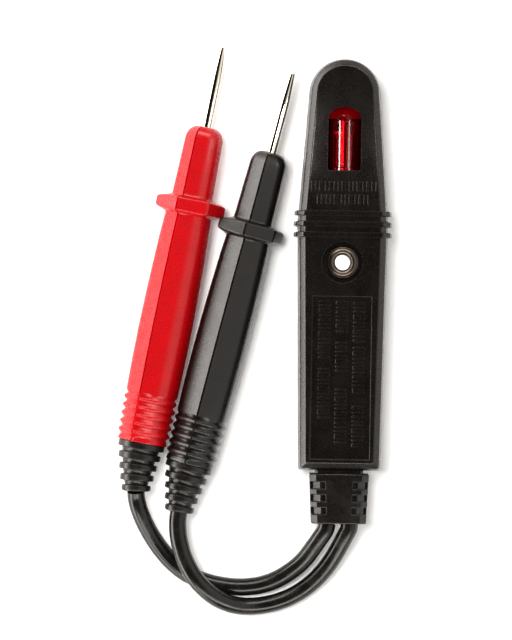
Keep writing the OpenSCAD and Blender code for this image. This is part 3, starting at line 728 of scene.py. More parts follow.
# %% [markdown]
# ## The window, the eye and the marked panel
#
# Three things break the flat face. The window is an arch with a softened rim, and its walls go
# down through the shell. The eye is a counterbore that the rivet's flange sits in, with a boss
# under it. The panel is a shallow recess, and on it stand rows of plain raised strokes, as a
# maker's data is moulded on such a tool. The strokes here carry no letters or numbers: they are
# bars of three widths, repeated along each row, grouped like words.
#
# Each of these starts as a ring on the face. The face is filled round them afterwards, so the
# whole shell is one closed skin.

# %% Window and eye
WINDOW_W = 7.0
WINDOW_Y0 = 19.7
WINDOW_Y1 = 33.2
WINDOW_RISE = 2.5
COUNTERBORE_R = 4.35
RIVET_Z = box_mm("hollow_rivet")[1].z
FLANGE_T = 0.55
BOSS_FLOOR = RIVET_Z - FLANGE_T
EYE_HOLE_R = 2.1
BOSS_R = COUNTERBORE_R + 1
FLOOR_FILLET = 0.15

# How a rim is softened: each point's distance out from the wall and down from the face.
WINDOW_RIM = [(0.28, 0.0), (0.09, 0.06), (0.0, 0.25)]
EYE_RIM = [(0.25, 0.0), (0.07, 0.06), (0.0, 0.22)]


def window_outline(spread, z):
    """The arched window, widened by a distance."""
    half = WINDOW_W / 2 + spread
    arch_y = WINDOW_Y1 - WINDOW_RISE
    foot = fillet([(-half, arch_y), (-half, WINDOW_Y0 - spread), (half, WINDOW_Y0 - spread),
                   (half, arch_y)], [0, 0.5 + spread, 0.5 + spread, 0], 4)[1:-1]
    arch = [math.pi * k / 20 for k in range(21)]
    top = [Vector((half * math.cos(a), arch_y + (WINDOW_RISE + spread) * math.sin(a))) for a in arch]
    return [Vector((p.x, p.y, z)) for p in foot + top]


def cut_window(bm):
    """The window's rim and walls: gives the edges on the face and on the inner face."""
    outlines = [window_outline(out, HALF_T - down) for out, down in WINDOW_RIM]
    rim = ring(bm, outlines[0])
    inner = grow_through(bm, rim, outlines[1:] + [window_outline(0.0, INNER_Z)])
    return ring_edges(rim), ring_edges(inner)


def cut_eye(bm):
    """The counterbore, the rivet's hole and the boss: gives the edges on both faces."""
    walls = [(COUNTERBORE_R + out, HALF_T - down) for out, down in EYE_RIM]
    walls += [(COUNTERBORE_R, BOSS_FLOOR + FLOOR_FILLET), (COUNTERBORE_R - FLOOR_FILLET, BOSS_FLOOR),
              (EYE_HOLE_R, BOSS_FLOOR), (EYE_HOLE_R, 0), (BOSS_R, 0), (BOSS_R, INNER_Z)]
    rim = ring(bm, circle_at(*walls[0]))
    inner = grow_through(bm, rim, [circle_at(r, z) for r, z in walls[1:]])
    return ring_edges(rim), ring_edges(inner)


print("window", WINDOW_W, "x", round(WINDOW_Y1 - WINDOW_Y0, 1), "mm")

# %% Panel and raised strokes
PANEL_W = 12.6
PANEL_Y0 = 7.3
PANEL_Y1 = 42.1
PANEL_DEPTH = 0.35
STROKE_HEIGHT = 0.27
STROKE_WIDTHS = (0.42, 0.42, 0.85, 0.42, 0.62, 0.42, 0.42, 1.1)
STROKE_GAP = 0.42
STROKE_CUT = 0.07

# How a stroke rises: each level's distance in from its foot and down from its top.
STROKE_LEVELS = [(0.04, 0.1), (0.13, 0.0)]
PANEL_RIM = 0.12
PANEL_SOFT = 0.1
ROW_X = PANEL_W / 2 - 2.6
ROW_WIDTH = 2.7
PANEL_ROWS = [(-ROW_X, [(8.2, 21), (22.6, 34)]), (0, [(8.2, 15.8), (17, 24), (27, 39)]),
              (ROW_X, [(8.4, 17.2), (18, 28), (30.6, 39.6)])]
WINDOW_LINES = [(15.2, 14.2), (12.4, 11.6)]
LINE_HEIGHT = 2.1


def strokes_in(start, end, first):
    """Places and widths of the strokes that fit between two distances."""
    made = []
    place = start
    turn = first
    while place + STROKE_WIDTHS[turn % len(STROKE_WIDTHS)] <= end:
        width = STROKE_WIDTHS[turn % len(STROKE_WIDTHS)]
        made.append((place, place + width))
        place += width + STROKE_GAP
        turn += 1
    return made


def bar_outline(x0, x1, y0, y1, inset, z):
    """A bar with cut corners, seen from above."""
    low_x, high_x, low_y, high_y = x0 + inset, x1 - inset, y0 + inset, y1 - inset
    cut = STROKE_CUT
    return [Vector((x, y, z)) for x, y in
            ((low_x + cut, low_y), (high_x - cut, low_y), (high_x, low_y + cut), (high_x, high_y - cut),
             (high_x - cut, high_y), (low_x + cut, high_y), (low_x, high_y - cut), (low_x, low_y + cut))]


def raise_bar(bm, x0, x1, y0, y1, floor_z):
    """A raised stroke with soft edges: gives the edges that it stands on."""
    foot = ring(bm, bar_outline(x0, x1, y0, y1, 0, floor_z))
    top = grow_through(bm, foot, [bar_outline(x0, x1, y0, y1, inset, floor_z + STROKE_HEIGHT - down)
                                  for inset, down in STROKE_LEVELS])
    bm.faces.new(top)
    return ring_edges(foot)


def raise_window_lines(bm):
    """The two lines of upright strokes under the window."""
    edges = []
    for line_number, (y0, width) in enumerate(WINDOW_LINES):
        for x0, x1 in strokes_in(-width / 2, width / 2, 3 * line_number):
            edges += raise_bar(bm, x0, x1, y0, y0 + LINE_HEIGHT, HALF_T)
    return edges


def recess_panel(bm):
    """The recess with its rows of strokes: gives the edges of its rim on the face."""
    floor_z = HALF_T - PANEL_DEPTH
    levels = [(-PANEL_RIM, HALF_T), (0, HALF_T - PANEL_SOFT), (PANEL_SOFT, floor_z)]
    outlines = [bar_outline(-PANEL_W / 2, PANEL_W / 2, -PANEL_Y1, -PANEL_Y0, inset, z) for inset, z in levels]
    rim = ring(bm, outlines[0])
    floor = grow_through(bm, rim, outlines[1:])
    edges = ring_edges(floor)
    for row_number, (x, runs) in enumerate(PANEL_ROWS):
        for start, end in runs:
            for y0, y1 in strokes_in(start, end, 2 * row_number + int(start)):
                edges += raise_bar(bm, x - ROW_WIDTH / 2, x + ROW_WIDTH / 2, -y1, -y0, floor_z)
    fill_flat(bm, edges)
    return ring_edges(rim)


print("strokes in the longest run:", len(strokes_in(8.2, 21, 0)))

# %% [markdown]
# ## The two shells
#
# Now the skin is put together: up the outside from the parting line, strips across the ribs,
# the face round its holes, down inside the wall, and across the lip back to the start. The
# back shell is the same moulding turned over, with ribs on its sides only and no panel.

# %% The two shells
SAME_PLACE = 1e-4


def shell(name, front):
    """One half of the head's case, drawn above the parting line and turned over for the back."""
    bm = bmesh.new()
    face_height = RIB_FACE_HEIGHT if front else 0.0
    lip = ring(bm, skin_level(*side_levels[0], face_height))
    edge = grow_through(bm, lip, [skin_level(inset, z, face_height) for inset, z in side_levels[1:]])
    right = edge[FIRST_RIB_POINT:LAST_RIB_POINT + 1]
    left = [edge[POINT_COUNT - 1 - (k - TAIL_POINTS)] for k in range(FIRST_RIB_POINT, LAST_RIB_POINT + 1)]
    across = [bm.edges.new(pair) for pair in zip(left, right)]
    for i in range(len(right) - 1):
        bm.faces.new((left[i], right[i], right[i + 1], left[i + 1]))
    edges = ring_edges(edge)
    nose_edges = [e for e in edges if min(v.co.y for v in e.verts) >= right[-1].co.y - SAME_PLACE]
    tail_edges = [e for e in edges if max(v.co.y for v in e.verts) <= right[0].co.y + SAME_PLACE]
    window_rim, window_inner = cut_window(bm)
    eye_rim, eye_inner = cut_eye(bm)
    marks = raise_window_lines(bm) if front else []
    panel_rim = recess_panel(bm) if front else []
    fill_flat(bm, nose_edges + [across[-1]] + window_rim + marks)
    fill_flat(bm, tail_edges + [across[0]] + eye_rim + panel_rim)
    flat = [Vector((x, y, GLAND_WAY_Z if step else 0)) for x, y, rise, step in head_outline(INNER_IN)]
    raised = [Vector((p.x, p.y, INNER_Z)) for p in flat]
    inner_edge = grow_through(bm, lip, [flat, raised])
    fill_flat(bm, ring_edges(inner_edge) + window_inner + eye_inner)
    if not front:
        bmesh.ops.scale(bm, vec=(1, 1, -1), verts=bm.verts)
    node = "front_shell" if front else "back_shell"
    finish_piece(bm, name, head_plastic, [node], 38)


shell("front_case", True)
shell("back_case", False)

# %% [markdown]
# ## The hollow rivet
#
# The rivet that holds the head together is also its hanging eye. It starts as a tube with one
# flange, and a tool rolls its other end over. Rolling leaves a raised ring with a shallow
# groove outside it and a funnel inside. It is a turned shape, so its section is drawn once,
# mirrored for the other end and spun.

# %% The hollow rivet
EYE_R = mounts["hanging_eye"]["dims"]["r_mm"]
FLANGE_R = box_mm("hollow_rivet")[1].x
BARREL_WALL = 0.4
BARREL_R = EYE_R + BARREL_WALL


def rivet():
    """The rolled rivet, both ends."""
    low_z = BOSS_FLOOR
    top_z = RIVET_Z
    rolled = [(EYE_R, 0), (EYE_R, low_z - 0.6), (EYE_R + 0.06, low_z - 0.1), (EYE_R + 0.2, low_z + 0.22),
              (EYE_R + 0.42, top_z - 0.13), (EYE_R + 0.66, top_z - 0.03), (EYE_R + 0.9, top_z),
              (EYE_R + 1.08, top_z - 0.06), (EYE_R + 1.18, top_z - 0.17), (EYE_R + 1.32, top_z - 0.19),
              (FLANGE_R - 0.2, top_z - 0.16), (FLANGE_R - 0.05, top_z - 0.24), (FLANGE_R, low_z + 0.18),
              (FLANGE_R - 0.03, low_z + 0.06), (FLANGE_R - 0.12, low_z), (BARREL_R, low_z), (BARREL_R, 0)]
    mirrored = [(r, -z) for r, z in reversed(rolled[1:-1])]
    bm = spin_profile(rolled + mirrored, True, 72)
    finish_piece(bm, "hanging_rivet", rivet_metal, ["hollow_rivet"], 45)


rivet()

# %% [markdown]
# ## The lens and the lamp
#
# The lens is a red cap with a domed end and a collar that the shells trap. Its wall is 0.8 mm, but
# its dome is solid: the hollow stops blunt below it, so the dome gathers light as a bead does.
# The neon lamp inside is a small glass bulb with a pinched foot. Both are turned shapes that lie
# along Y. Their walls have real thickness, because light bends at each surface that it crosses.

# %% The lens and the lamp
LENS_LOW, LENS_HIGH = box_mm("indicator_lens")
LENS_WALL = 0.8
COLLAR_R = LENS_HIGH.x
COLLAR_STEP = 0.3
LENS_R = COLLAR_R - COLLAR_STEP
COLLAR_LENGTH = 1.4
COLLAR_SOFT = 0.1
LENS_CAVITY = 11.8
CAVITY_CHAMFER = (0.4, 0.45)
LAMP_LOW, LAMP_HIGH = box_mm("neon_lamp")
LAMP_R = LAMP_HIGH.x
LAMP_WALL = 0.3


def quarter(radius, centre, steps=12):
    """Points of a dome's section, from its rim to its tip."""
    turns = [math.pi / 2 * k / steps for k in range(steps + 1)]
    return [(radius * math.cos(a), centre + radius * math.sin(a)) for a in turns]


def lens():
    """The red cap, drawn upwards from its collar and laid along Y."""
    length = LENS_HIGH.y - LENS_LOW.y
    dome = length - LENS_R
    inner = LENS_R - LENS_WALL
    soft = COLLAR_SOFT
    collar = [(inner, 0.0), (COLLAR_R - soft, 0.0), (COLLAR_R, soft), (COLLAR_R, COLLAR_LENGTH - soft),
              (COLLAR_R - soft, COLLAR_LENGTH), (LENS_R, COLLAR_LENGTH)]
    outside = collar + quarter(LENS_R, dome)
    chamfer_in, chamfer_up = CAVITY_CHAMFER
    inside = [(inner, LENS_CAVITY - chamfer_up), (inner - chamfer_in, LENS_CAVITY), (0, LENS_CAVITY)]
    bm = spin_profile(inside[::-1] + outside, False, 64)
    bmesh.ops.transform(bm, matrix=Matrix.Translation((0, LENS_LOW.y, 0)) @ ALONG_Y, verts=bm.verts)
    finish_piece(bm, "red_lens_cap", red_lens, ["indicator_lens"], 40)


def lamp():
    """The neon lamp's bulb: thin glass with a solid pinched foot and a sealed tip."""
    length = LAMP_HIGH.y - LAMP_LOW.y
    dome = length - LAMP_R
    inner = LAMP_R - LAMP_WALL
    foot = [(0, 0), (LAMP_R - 0.6, 0), (LAMP_R - 0.15, 0.25), (LAMP_R, 0.8)]
    bm = spin_profile(foot + quarter(LAMP_R, dome), False, 48)
    hollow = spin_profile([(0, 1.2), (inner - 0.4, 1.25), (inner, 1.7)] + quarter(inner, dome), False, 48)
    hollow_mesh = bpy.data.meshes.new("lamp_hollow")
    bmesh.ops.remove_doubles(hollow, verts=hollow.verts, dist=MERGE_DISTANCE)
    bmesh.ops.recalc_face_normals(hollow, faces=hollow.faces)
    hollow.to_mesh(hollow_mesh)
    hollow.free()
    bmesh.ops.remove_doubles(bm, verts=bm.verts, dist=MERGE_DISTANCE)
    bm.from_mesh(hollow_mesh)
    bpy.data.meshes.remove(hollow_mesh)
    bmesh.ops.transform(bm, matrix=Matrix.Translation((0, LAMP_LOW.y, 0)) @ ALONG_Y, verts=bm.verts)
    finish_piece(bm, "neon_bulb", lamp_glass, ["neon_lamp"], 50)


lens()
lamp()

# %% [markdown]
# ## The gland
#
# Where the leads leave the head they pass through a block of soft rubber with pockets cut in
# its sides, so that it can flex without pinching them. Its section switches between two
# outlines: the full one, with chamfered corners, and the one at a pocket, where the sides sink
# to a core and leave a column in the middle and a thin web at half height. Both outlines have
# the same number of points, so the switch is just two rings at the same place. A Bevel modifier
# then softens every edge, as rubber leaves its mould.

# %% The gland
GLAND_LOW, GLAND_HIGH = box_mm("lead_gland")
GLAND_W0 = 2 * GLAND_HIGH.x
GLAND_W1 = 11.8
GLAND_T = 2 * GLAND_HIGH.z
GLAND_LENGTH = 10.7
GLAND_GAP = 0.7
GLAND_CHAMFER = 1.4
GLAND_CORE = 0.8
GLAND_WEB = 1.5
POCKET_COUNT = 3
POCKET_W = 1.6
POCKET_PITCH = 2.74
POCKET_IN = 3.4
POCKET_FIRST = GLAND_LENGTH - GLAND_GAP - 1.0 - POCKET_W
GLAND_SOFT = 0.15
NECK_SINK = 0.8
FLANGE_OUT = (0.9, 0.4)
LEAD_CLEARANCE = 0.05


def gland_section(s, inset, sunk):
    """The gland's outline at a distance from its mouth, moved in, with or without the pocket."""
    half_w = (GLAND_W1 + (GLAND_W0 - GLAND_W1) * s / GLAND_LENGTH) / 2
    x = half_w - inset
    z = GLAND_T / 2 - inset
    column = half_w - POCKET_IN
    web = GLAND_WEB / 2
    corner = GLAND_CHAMFER
    quarter_points = [(x, web), (x - sunk, web), (x - sunk, z - sunk - corner),
                      (x - sunk - corner, z - sunk), (column, z - sunk), (column, z)]
    half_points = quarter_points + [(-px, pz) for px, pz in reversed(quarter_points)]
    whole = half_points + [(-px, -pz) for px, pz in half_points]
    return [Vector((px, GLAND_LOW.y + s, pz)) for px, pz in whole]


def block(y, half_w, half_t):
    """A plain outline with as many points as the gland's, for its neck and its flange."""
    quarter_points = [(half_w, half_t * 0.3), (half_w, half_t * 0.5), (half_w, half_t - 0.5),
                      (half_w - 0.5, half_t), (half_w * 0.5, half_t), (half_w * 0.45, half_t)]
    half_points = quarter_points + [(-px, pz) for px, pz in reversed(quarter_points)]
    return [Vector((px, y, pz)) for px, pz in half_points + [(-px, -pz) for px, pz in half_points]]


def gland():
    """The ribbed rubber block with its two ways for the leads."""
    bm = bmesh.new()
    mouth = ring(bm, gland_section(0, GLAND_SOFT, 0))
    outlines = [gland_section(GLAND_SOFT, 0, 0)]
    for i in reversed(range(POCKET_COUNT)):
        start = POCKET_FIRST - i * POCKET_PITCH
        outlines += [gland_section(start, 0, 0), gland_section(start, 0, GLAND_CORE),
                     gland_section(start + POCKET_W, 0, GLAND_CORE), gland_section(start + POCKET_W, 0, 0)]
    outlines += [gland_section(GLAND_LENGTH - GLAND_SOFT, 0, 0), gland_section(GLAND_LENGTH, GLAND_SOFT, 0)]
    neck_w = GLAND_W1 / 2 - NECK_SINK
    neck_t = GLAND_T / 2 - NECK_SINK
    flange_w, flange_t = neck_w + FLANGE_OUT[0], neck_t + FLANGE_OUT[1]
    shoulder_y = GLAND_LOW.y + GLAND_LENGTH
    flange_y = shoulder_y + GLAND_GAP + INNER_IN + 0.1
    outlines += [block(shoulder_y, neck_w, neck_t), block(flange_y, neck_w, neck_t),
                 block(flange_y, flange_w, flange_t), block(GLAND_HIGH.y, flange_w, flange_t)]
    end = grow_through(bm, mouth, outlines)
    mouth_edges = ring_edges(mouth)
    end_edges = ring_edges(end)
    for side in (-1, 1):
        circle = circle_at(LEAD_RADIUS + LEAD_CLEARANCE, 0, 32, (side * LEAD_X, 0))
        way = [Vector((p.x, GLAND_LOW.y, p.y)) for p in circle]
        entry = ring(bm, way)
        out = grow(bm, entry, [Vector((p.x, GLAND_HIGH.y, p.z)) for p in way])
        mouth_edges += ring_edges(entry)
        end_edges += ring_edges(out)
    for edges in (mouth_edges, end_edges):
        bmesh.ops.triangle_fill(bm, use_beauty=True, use_dissolve=False, edges=edges, normal=(0, 1, 0))
    piece = finish_piece(bm, "rubber_gland", gland_rubber, ["lead_gland"], 30)
    soften = piece.modifiers.new("soft_edges", "BEVEL")
    soften.width = 0.12 * MM
    soften.segments = 2
    soften.limit_method = "ANGLE"
    soften.angle_limit = math.radians(40)
    piece.modifiers.move(1, 0)


gland()

# %% [markdown]
# ## The probe handles
#
# A handle is a rounded hexagon that swells at the grip and narrows to the finger guard, with a
# slim neck in front of it. The mould parts along two opposite corners. Those stay crisp, with a
# fine groove where the two halves of the mould met, and the other four are strongly rounded. One
# rule draws every section: six corners, a radius for each, and the groove on the parted ones. The
# crisp corner underneath is drawn a little further in, because the probe rests on it. The guard
# is the same section pulled out to its own six corners, so the skin runs over it without a seam.

# %% The section of a handle
HANDLE_W = 11.5
HANDLE_END_W = 10.7
WAIST_W = 10.0
NECK_W = 8.8
NOSE_W = 8.2
NECK_LENGTH = 15.4
GUARD_W = 15.5
GUARD_H = 11.0
GUARD_FLAT = 6.9
GUARD_T0 = 3.8
GUARD_T1 = 2.0
GUARD_ROUNDING = [0.9, 0.8, 0, 0.9, 0.8, 0]
GUARD_S = HANDLE_LENGTH - NECK_LENGTH - GUARD_T0 / 2
GUARD_START = GUARD_S - GUARD_T0 / 2
GUARD_END = GUARD_S + GUARD_T0 / 2
NECK_FOOT = 0.7
FLAT_SHARE = 0.94
PARTED_CORNERS = (2, 5)
UNDER_CORNER = 5
UNDER_CORNER_SHARE = 0.95
PARTING_WIDE = 0.30
PARTING_NARROW = 0.18
PARTING_DEPTH = 0.42
PARTING_FLOOR = 0.08
PARTING_FLANK = 0.8
PARTING_LAST = 1.2
CORNER_STEPS = 7
AFTER_CORNER = 0.12
CORNER_ROUNDNESS = (0.55, 0.80, 0.0, 0.55, 0.80, 0.0)


def corner_points(corners, radii):
    """A closed outline: rounded corners, and a fine groove along the parted ones."""
    made = []
    count = len(corners)
    corners = [p * UNDER_CORNER_SHARE if i == UNDER_CORNER else p for i, p in enumerate(corners)]
    for i, corner in enumerate(corners):
        last, following = corners[i - 1], corners[(i + 1) % count]
        to_last = (last - corner).normalized()
        to_next = (following - corner).normalized()
        half = to_last.angle(to_next) / 2
        if i in PARTED_CORNERS:
            sink = (to_last + to_next).normalized() * PARTING_DEPTH
            made += [corner + to_last * PARTING_FLANK, corner + to_last * PARTING_WIDE,
                     corner + to_last * PARTING_FLOOR + sink, corner + sink,
                     corner + to_next * PARTING_FLOOR + sink, corner + to_next * PARTING_NARROW,
                     corner + to_next * PARTING_FLANK, corner + to_next * PARTING_LAST]
        else:
            centre = corner + (to_last + to_next).normalized() * radii[i] / math.sin(half)
            start = corner + to_last * radii[i] / math.tan(half) - centre
            end = corner + to_next * radii[i] / math.tan(half) - centre
            made += [centre + start.slerp(end, k / CORNER_STEPS) * radii[i] for k in range(CORNER_STEPS + 1)]
        made.append(made[-1] + (following - corner) * AFTER_CORNER)
    return made


def hexagon(flat):
    """Six corners with flats at that distance from the middle."""
    reach = flat / math.cos(math.pi / 6)
    return [Vector((reach * math.cos(math.pi / 3 * k), reach * math.sin(math.pi / 3 * k))) for k in range(6)]


def handle_section(radius, roundness=1.0):
    """The handle's outline where its corners reach that radius."""
    flat = radius * FLAT_SHARE
    return corner_points(hexagon(flat), [flat * share * roundness for share in CORNER_ROUNDNESS])


def guard_section(inset):
    """The finger guard's outline, moved in by a distance."""
    w, f, h = GUARD_W / 2 - inset * 1.3, GUARD_FLAT / 2 - inset * 0.5, GUARD_H / 2 - inset
    corners = [Vector(p) for p in ((w, 0), (f, h), (-f, h), (-w, 0), (-f, -h), (f, -h))]
    return corner_points(corners, GUARD_ROUNDING)


print("points in a handle's section:", len(handle_section(5)))

# %% [markdown]
# ## The length of a handle
#
# The radius along the handle is a smooth curve through a few stations. At the rear five rings
# give grip: between them a round groove is turned down to just under the flats, so the grooves
# are deep across the corners and shallow across the flats, as a turned groove on a hexagon is.
# The curve's stations are pairs: a distance from the rear face, and the radius there.

# %% The length of a handle
RING_COUNT = 5
RING_PITCH = 1.78
RING_START = 2.2
RING_RISE = 0.22
RING_STEPS = 12
RING_SINK = 0.10
RING_SHAPE = 0.75
GRIP_END = RING_START + RING_COUNT * RING_PITCH
RADIUS_STATIONS = [(0, HANDLE_END_W / 2), (GRIP_END, HANDLE_W / 2 - 0.15),
                   (HANDLE_LENGTH * 0.27, HANDLE_W / 2), (HANDLE_LENGTH * 0.44, HANDLE_W / 2 - 0.05),
                   (HANDLE_LENGTH * 0.62, HANDLE_W / 4 + WAIST_W / 4), (GUARD_S - 1, WAIST_W / 2)]


def handle_radius(s):
    """The radius at a distance from the rear face, on a smooth curve through the stations."""
    stations = RADIUS_STATIONS
    k = max(i for i in range(len(stations) - 1) if s >= stations[i][0] or i == 0)
    (s0, r0), (s1, r1) = stations[k], stations[k + 1]
    before = stations[max(k - 1, 0)]
    after = stations[min(k + 2, len(stations) - 1)]
    slope0 = (r1 - before[1]) / (s1 - before[0])
    slope1 = (after[1] - r0) / (after[0] - s0)
    t = (s - s0) / (s1 - s0)
    run = s1 - s0
    return (r0 * (1 + 2 * t) * (1 - t) ** 2 + slope0 * run * t * (1 - t) ** 2
            + r1 * t * t * (3 - 2 * t) + slope1 * run * t * t * (t - 1))


def ringed_section(s):
    """The outline in the grip, between the rings' crests and the turned grooves."""
    radius = handle_radius(s)
    crest = (0.5 + 0.5 * math.cos(2 * math.pi * (s - RING_START) / RING_PITCH)) ** RING_SHAPE
    groove = radius * FLAT_SHARE - RING_SINK
    made = []
    for p in handle_section(radius):
        reach = p.length
        ringed = min(reach, groove) * (1 - crest) + (reach + RING_RISE) * crest
        made.append(p * (ringed / reach))
    return made


def level(section, s):
    """An outline put at a distance along the handle, as (x, s, z) places."""
    return [Vector((p.x, s, p.y)) for p in section]


def guard_levels():
    """The outlines from the handle over the guard, with its softened rim, to the neck."""
    def thickness(p):
        share = (p.length - NECK_W / 2) / (GUARD_W / 2 - NECK_W / 2)
        return (GUARD_T0 + (GUARD_T1 - GUARD_T0) * share) / 2

    def rim(inset, end, back_off):
        section = guard_section(inset)
        return [Vector((p.x, GUARD_S + end * (thickness(p) - back_off), p.y)) for p in section]

    def foot(section, share, s):
        return level([p * share for p in section], s)

    back = handle_section(WAIST_W / 2)
    front = handle_section(NECK_W / 2)
    return [level(back, GUARD_START - 0.5), foot(back, 1.02, GUARD_START - 0.05),
            rim(0.34, -1, -0.02), rim(0.1, -1, 0.1), rim(0, -1, 0.34),
            rim(0, 1, 0.34), rim(0.1, 1, 0.1), rim(0.34, 1, -0.02),
            foot(front, 1.045, GUARD_END + 0.05), foot(front, 1.01, GUARD_END + 0.3),
            level(front, GUARD_END + NECK_FOOT)]


print("grip ends", round(GRIP_END, 1), "mm from the rear face, guard at", GUARD_S)

# %% [markdown]
# ## Making the handles
#
# The skin starts at the rear edge, runs forward to the nose, turns in to the pin's hole and
# comes back inside the handle to the socket that holds the boot. The last ring is merged with
# the first, so the handle is closed. The drawing is then rolled about its own axis and put
# in its place.

# %% Making the handles
CUP_S = HANDLE_LENGTH / 2 - 1.6
CUP_LENGTH = 7.0
SHANK_R = 1.3
HOLE_SOFT = 0.15
PLUG_WALL = 1.15
PLUG_R = LEAD_RADIUS + PLUG_WALL
PLUG_LENGTH = 4.1
NOSE_ROUND = 2.9
NOSE_IN = 2.35
NOSE_SOFTER = 0.2
RING_LEAD_IN = 8
BODY_STEPS = 24
END_STEPS = 8

# How the rear edge is softened: a share of the section, and the distance from the rear face.
REAR_EDGE = ((0.94, 0.0), (0.975, 0.1), (0.995, 0.32))


def handle_outlines():
    """Every outline of the handle's skin, from the rear edge out, forward and back inside."""
    rear = handle_section(handle_radius(0))
    outlines = [level([p * share for p in rear], s) for share, s in REAR_EDGE]
    grip_steps = [RING_START + k * RING_PITCH / RING_STEPS
                  for k in range(-RING_LEAD_IN, (RING_COUNT - 1) * RING_STEPS + RING_LEAD_IN - 1)]
    outlines += [level(ringed_section(s), s) for s in grip_steps]
    body_start = grip_steps[-1] + 0.5
    body_end = GUARD_START - 1.5
    body = [body_start + (body_end - body_start) * k / BODY_STEPS for k in range(BODY_STEPS + 1)]
    outlines += [level(handle_section(handle_radius(s)), s) for s in body]
    outlines += guard_levels()
    neck_start = GUARD_END + NECK_FOOT
    neck_end = HANDLE_LENGTH - NOSE_ROUND
    shares = [k / END_STEPS for k in range(1, END_STEPS + 1)]
    for share in shares:
        radius = (NECK_W + (NOSE_W - NECK_W) * share) / 2
        outlines.append(level(handle_section(radius), neck_start + (neck_end - neck_start) * share))
    for share in shares:
        turn = math.pi / 2 * share
        section = handle_section(NOSE_W / 2 - NOSE_IN * (1 - math.cos(turn)), 1 + NOSE_SOFTER * share)
        outlines.append(level(section, neck_end + NOSE_ROUND * math.sin(turn)))
    return outlines


def bore_outlines(first):
    """Round outlines inside the handle, with points at the same turns as the first outline's."""
    turns = [math.atan2(p.z, p.x) for p in first]
    lead_way = LEAD_RADIUS + LEAD_CLEARANCE
    steps = [(SHANK_R + HOLE_SOFT, HANDLE_LENGTH), (SHANK_R, HANDLE_LENGTH - HOLE_SOFT),
             (SHANK_R, CUP_S + CUP_LENGTH), (lead_way, CUP_S + CUP_LENGTH), (lead_way, PLUG_LENGTH),
             (PLUG_R, PLUG_LENGTH), (PLUG_R, 0.0)]
    return [[Vector((r * math.cos(a), s, r * math.sin(a))) for a in turns] for r, s in steps]


def handle(colour, probe, material):
    """One probe's handle with its guard, rings and bores."""
    bm = bmesh.new()
    outlines = handle_outlines()
    first = ring(bm, outlines[0])
    last = grow_through(bm, first, outlines[1:] + bore_outlines(outlines[0]))
    grow(bm, last, outlines[0])
    roll = Matrix.Rotation(math.radians(probe["roll"]), 4, "Y")
    bmesh.ops.transform(bm, matrix=probe["seat"] @ roll, verts=bm.verts)
    node = colour + "_probe_handle"
    finish_piece(bm, colour + "_handle_moulding", material, [node], 32)


handle("red", PROBES["red"], red_plastic)
handle("black", PROBES["black"], black_plastic)

# %% [markdown]
# ## The test pins
#
# A pin is a turned rod. Inside the handle it has a cup that the copper is soldered into and a
# shank that the handle grips. Outside it is a plain 2 mm rod, then a long taper and a blunt,
# rounded tip that seats in a terminal without scratching it.

# %% The test pins
PIN_R = mounts["red_pin"]["dims"]["r_mm"]
PIN_TIP_R = 0.55
CUP_R = 1.7
CUP_HOLE_R = 0.75
SHANK_CLEARANCE = 0.05


def pin(colour, probe):
    """One pin, drawn upwards from its cup and laid along the probe."""
    face = HANDLE_LENGTH
    tip = face + PIN_OUT
    shank = SHANK_R - SHANK_CLEARANCE
    section = [(0, CUP_S + CUP_LENGTH - 1), (CUP_HOLE_R, CUP_S + CUP_LENGTH - 1), (CUP_HOLE_R, CUP_S),
               (CUP_R - 0.1, CUP_S), (CUP_R, CUP_S + 0.1), (CUP_R, CUP_S + CUP_LENGTH - 0.4),
               (shank, CUP_S + CUP_LENGTH), (shank, face - 0.35), (PIN_R, face - 0.1),
               (PIN_R, face + PIN_STRAIGHT * 0.5), (PIN_R, face + PIN_STRAIGHT - 0.6),
               (PIN_R - 0.01, face + PIN_STRAIGHT), (PIN_R - 0.05, face + PIN_STRAIGHT + 0.7),
               (PIN_TIP_R + 0.05, tip - 0.8), (PIN_TIP_R, tip - 0.38), (PIN_TIP_R - 0.12, tip - 0.12),
               (PIN_TIP_R - 0.3, tip - 0.02), (0, tip)]
    bm = spin_profile(section, False, 40)
    bmesh.ops.transform(bm, matrix=probe["seat"] @ ALONG_Y, verts=bm.verts)
    finish_piece(bm, colour + "_test_pin", pin_metal, [colour + "_probe_pin"], 40)


for colour, probe in PROBES.items():
    pin(colour, probe)

# %% [markdown]
# ## The boots
#
# A boot keeps the lead from kinking where it enters the handle. Five rings of falling size
# stand on a thinner core, and the deep gaps between them let it bend. It is turned straight
# and then bent: each point behind the handle is carried round an arc, which is what the rubber
# does when the lead pulls to one side.

# %% The boots
BOOT_D0 = 10.0
BOOT_D1 = 6.3
BOOT_GROOVE = 0.95
BOOT_SOFT = 0.22
PLUG_CLEARANCE = 0.05
PLUG_SHORT = 0.1


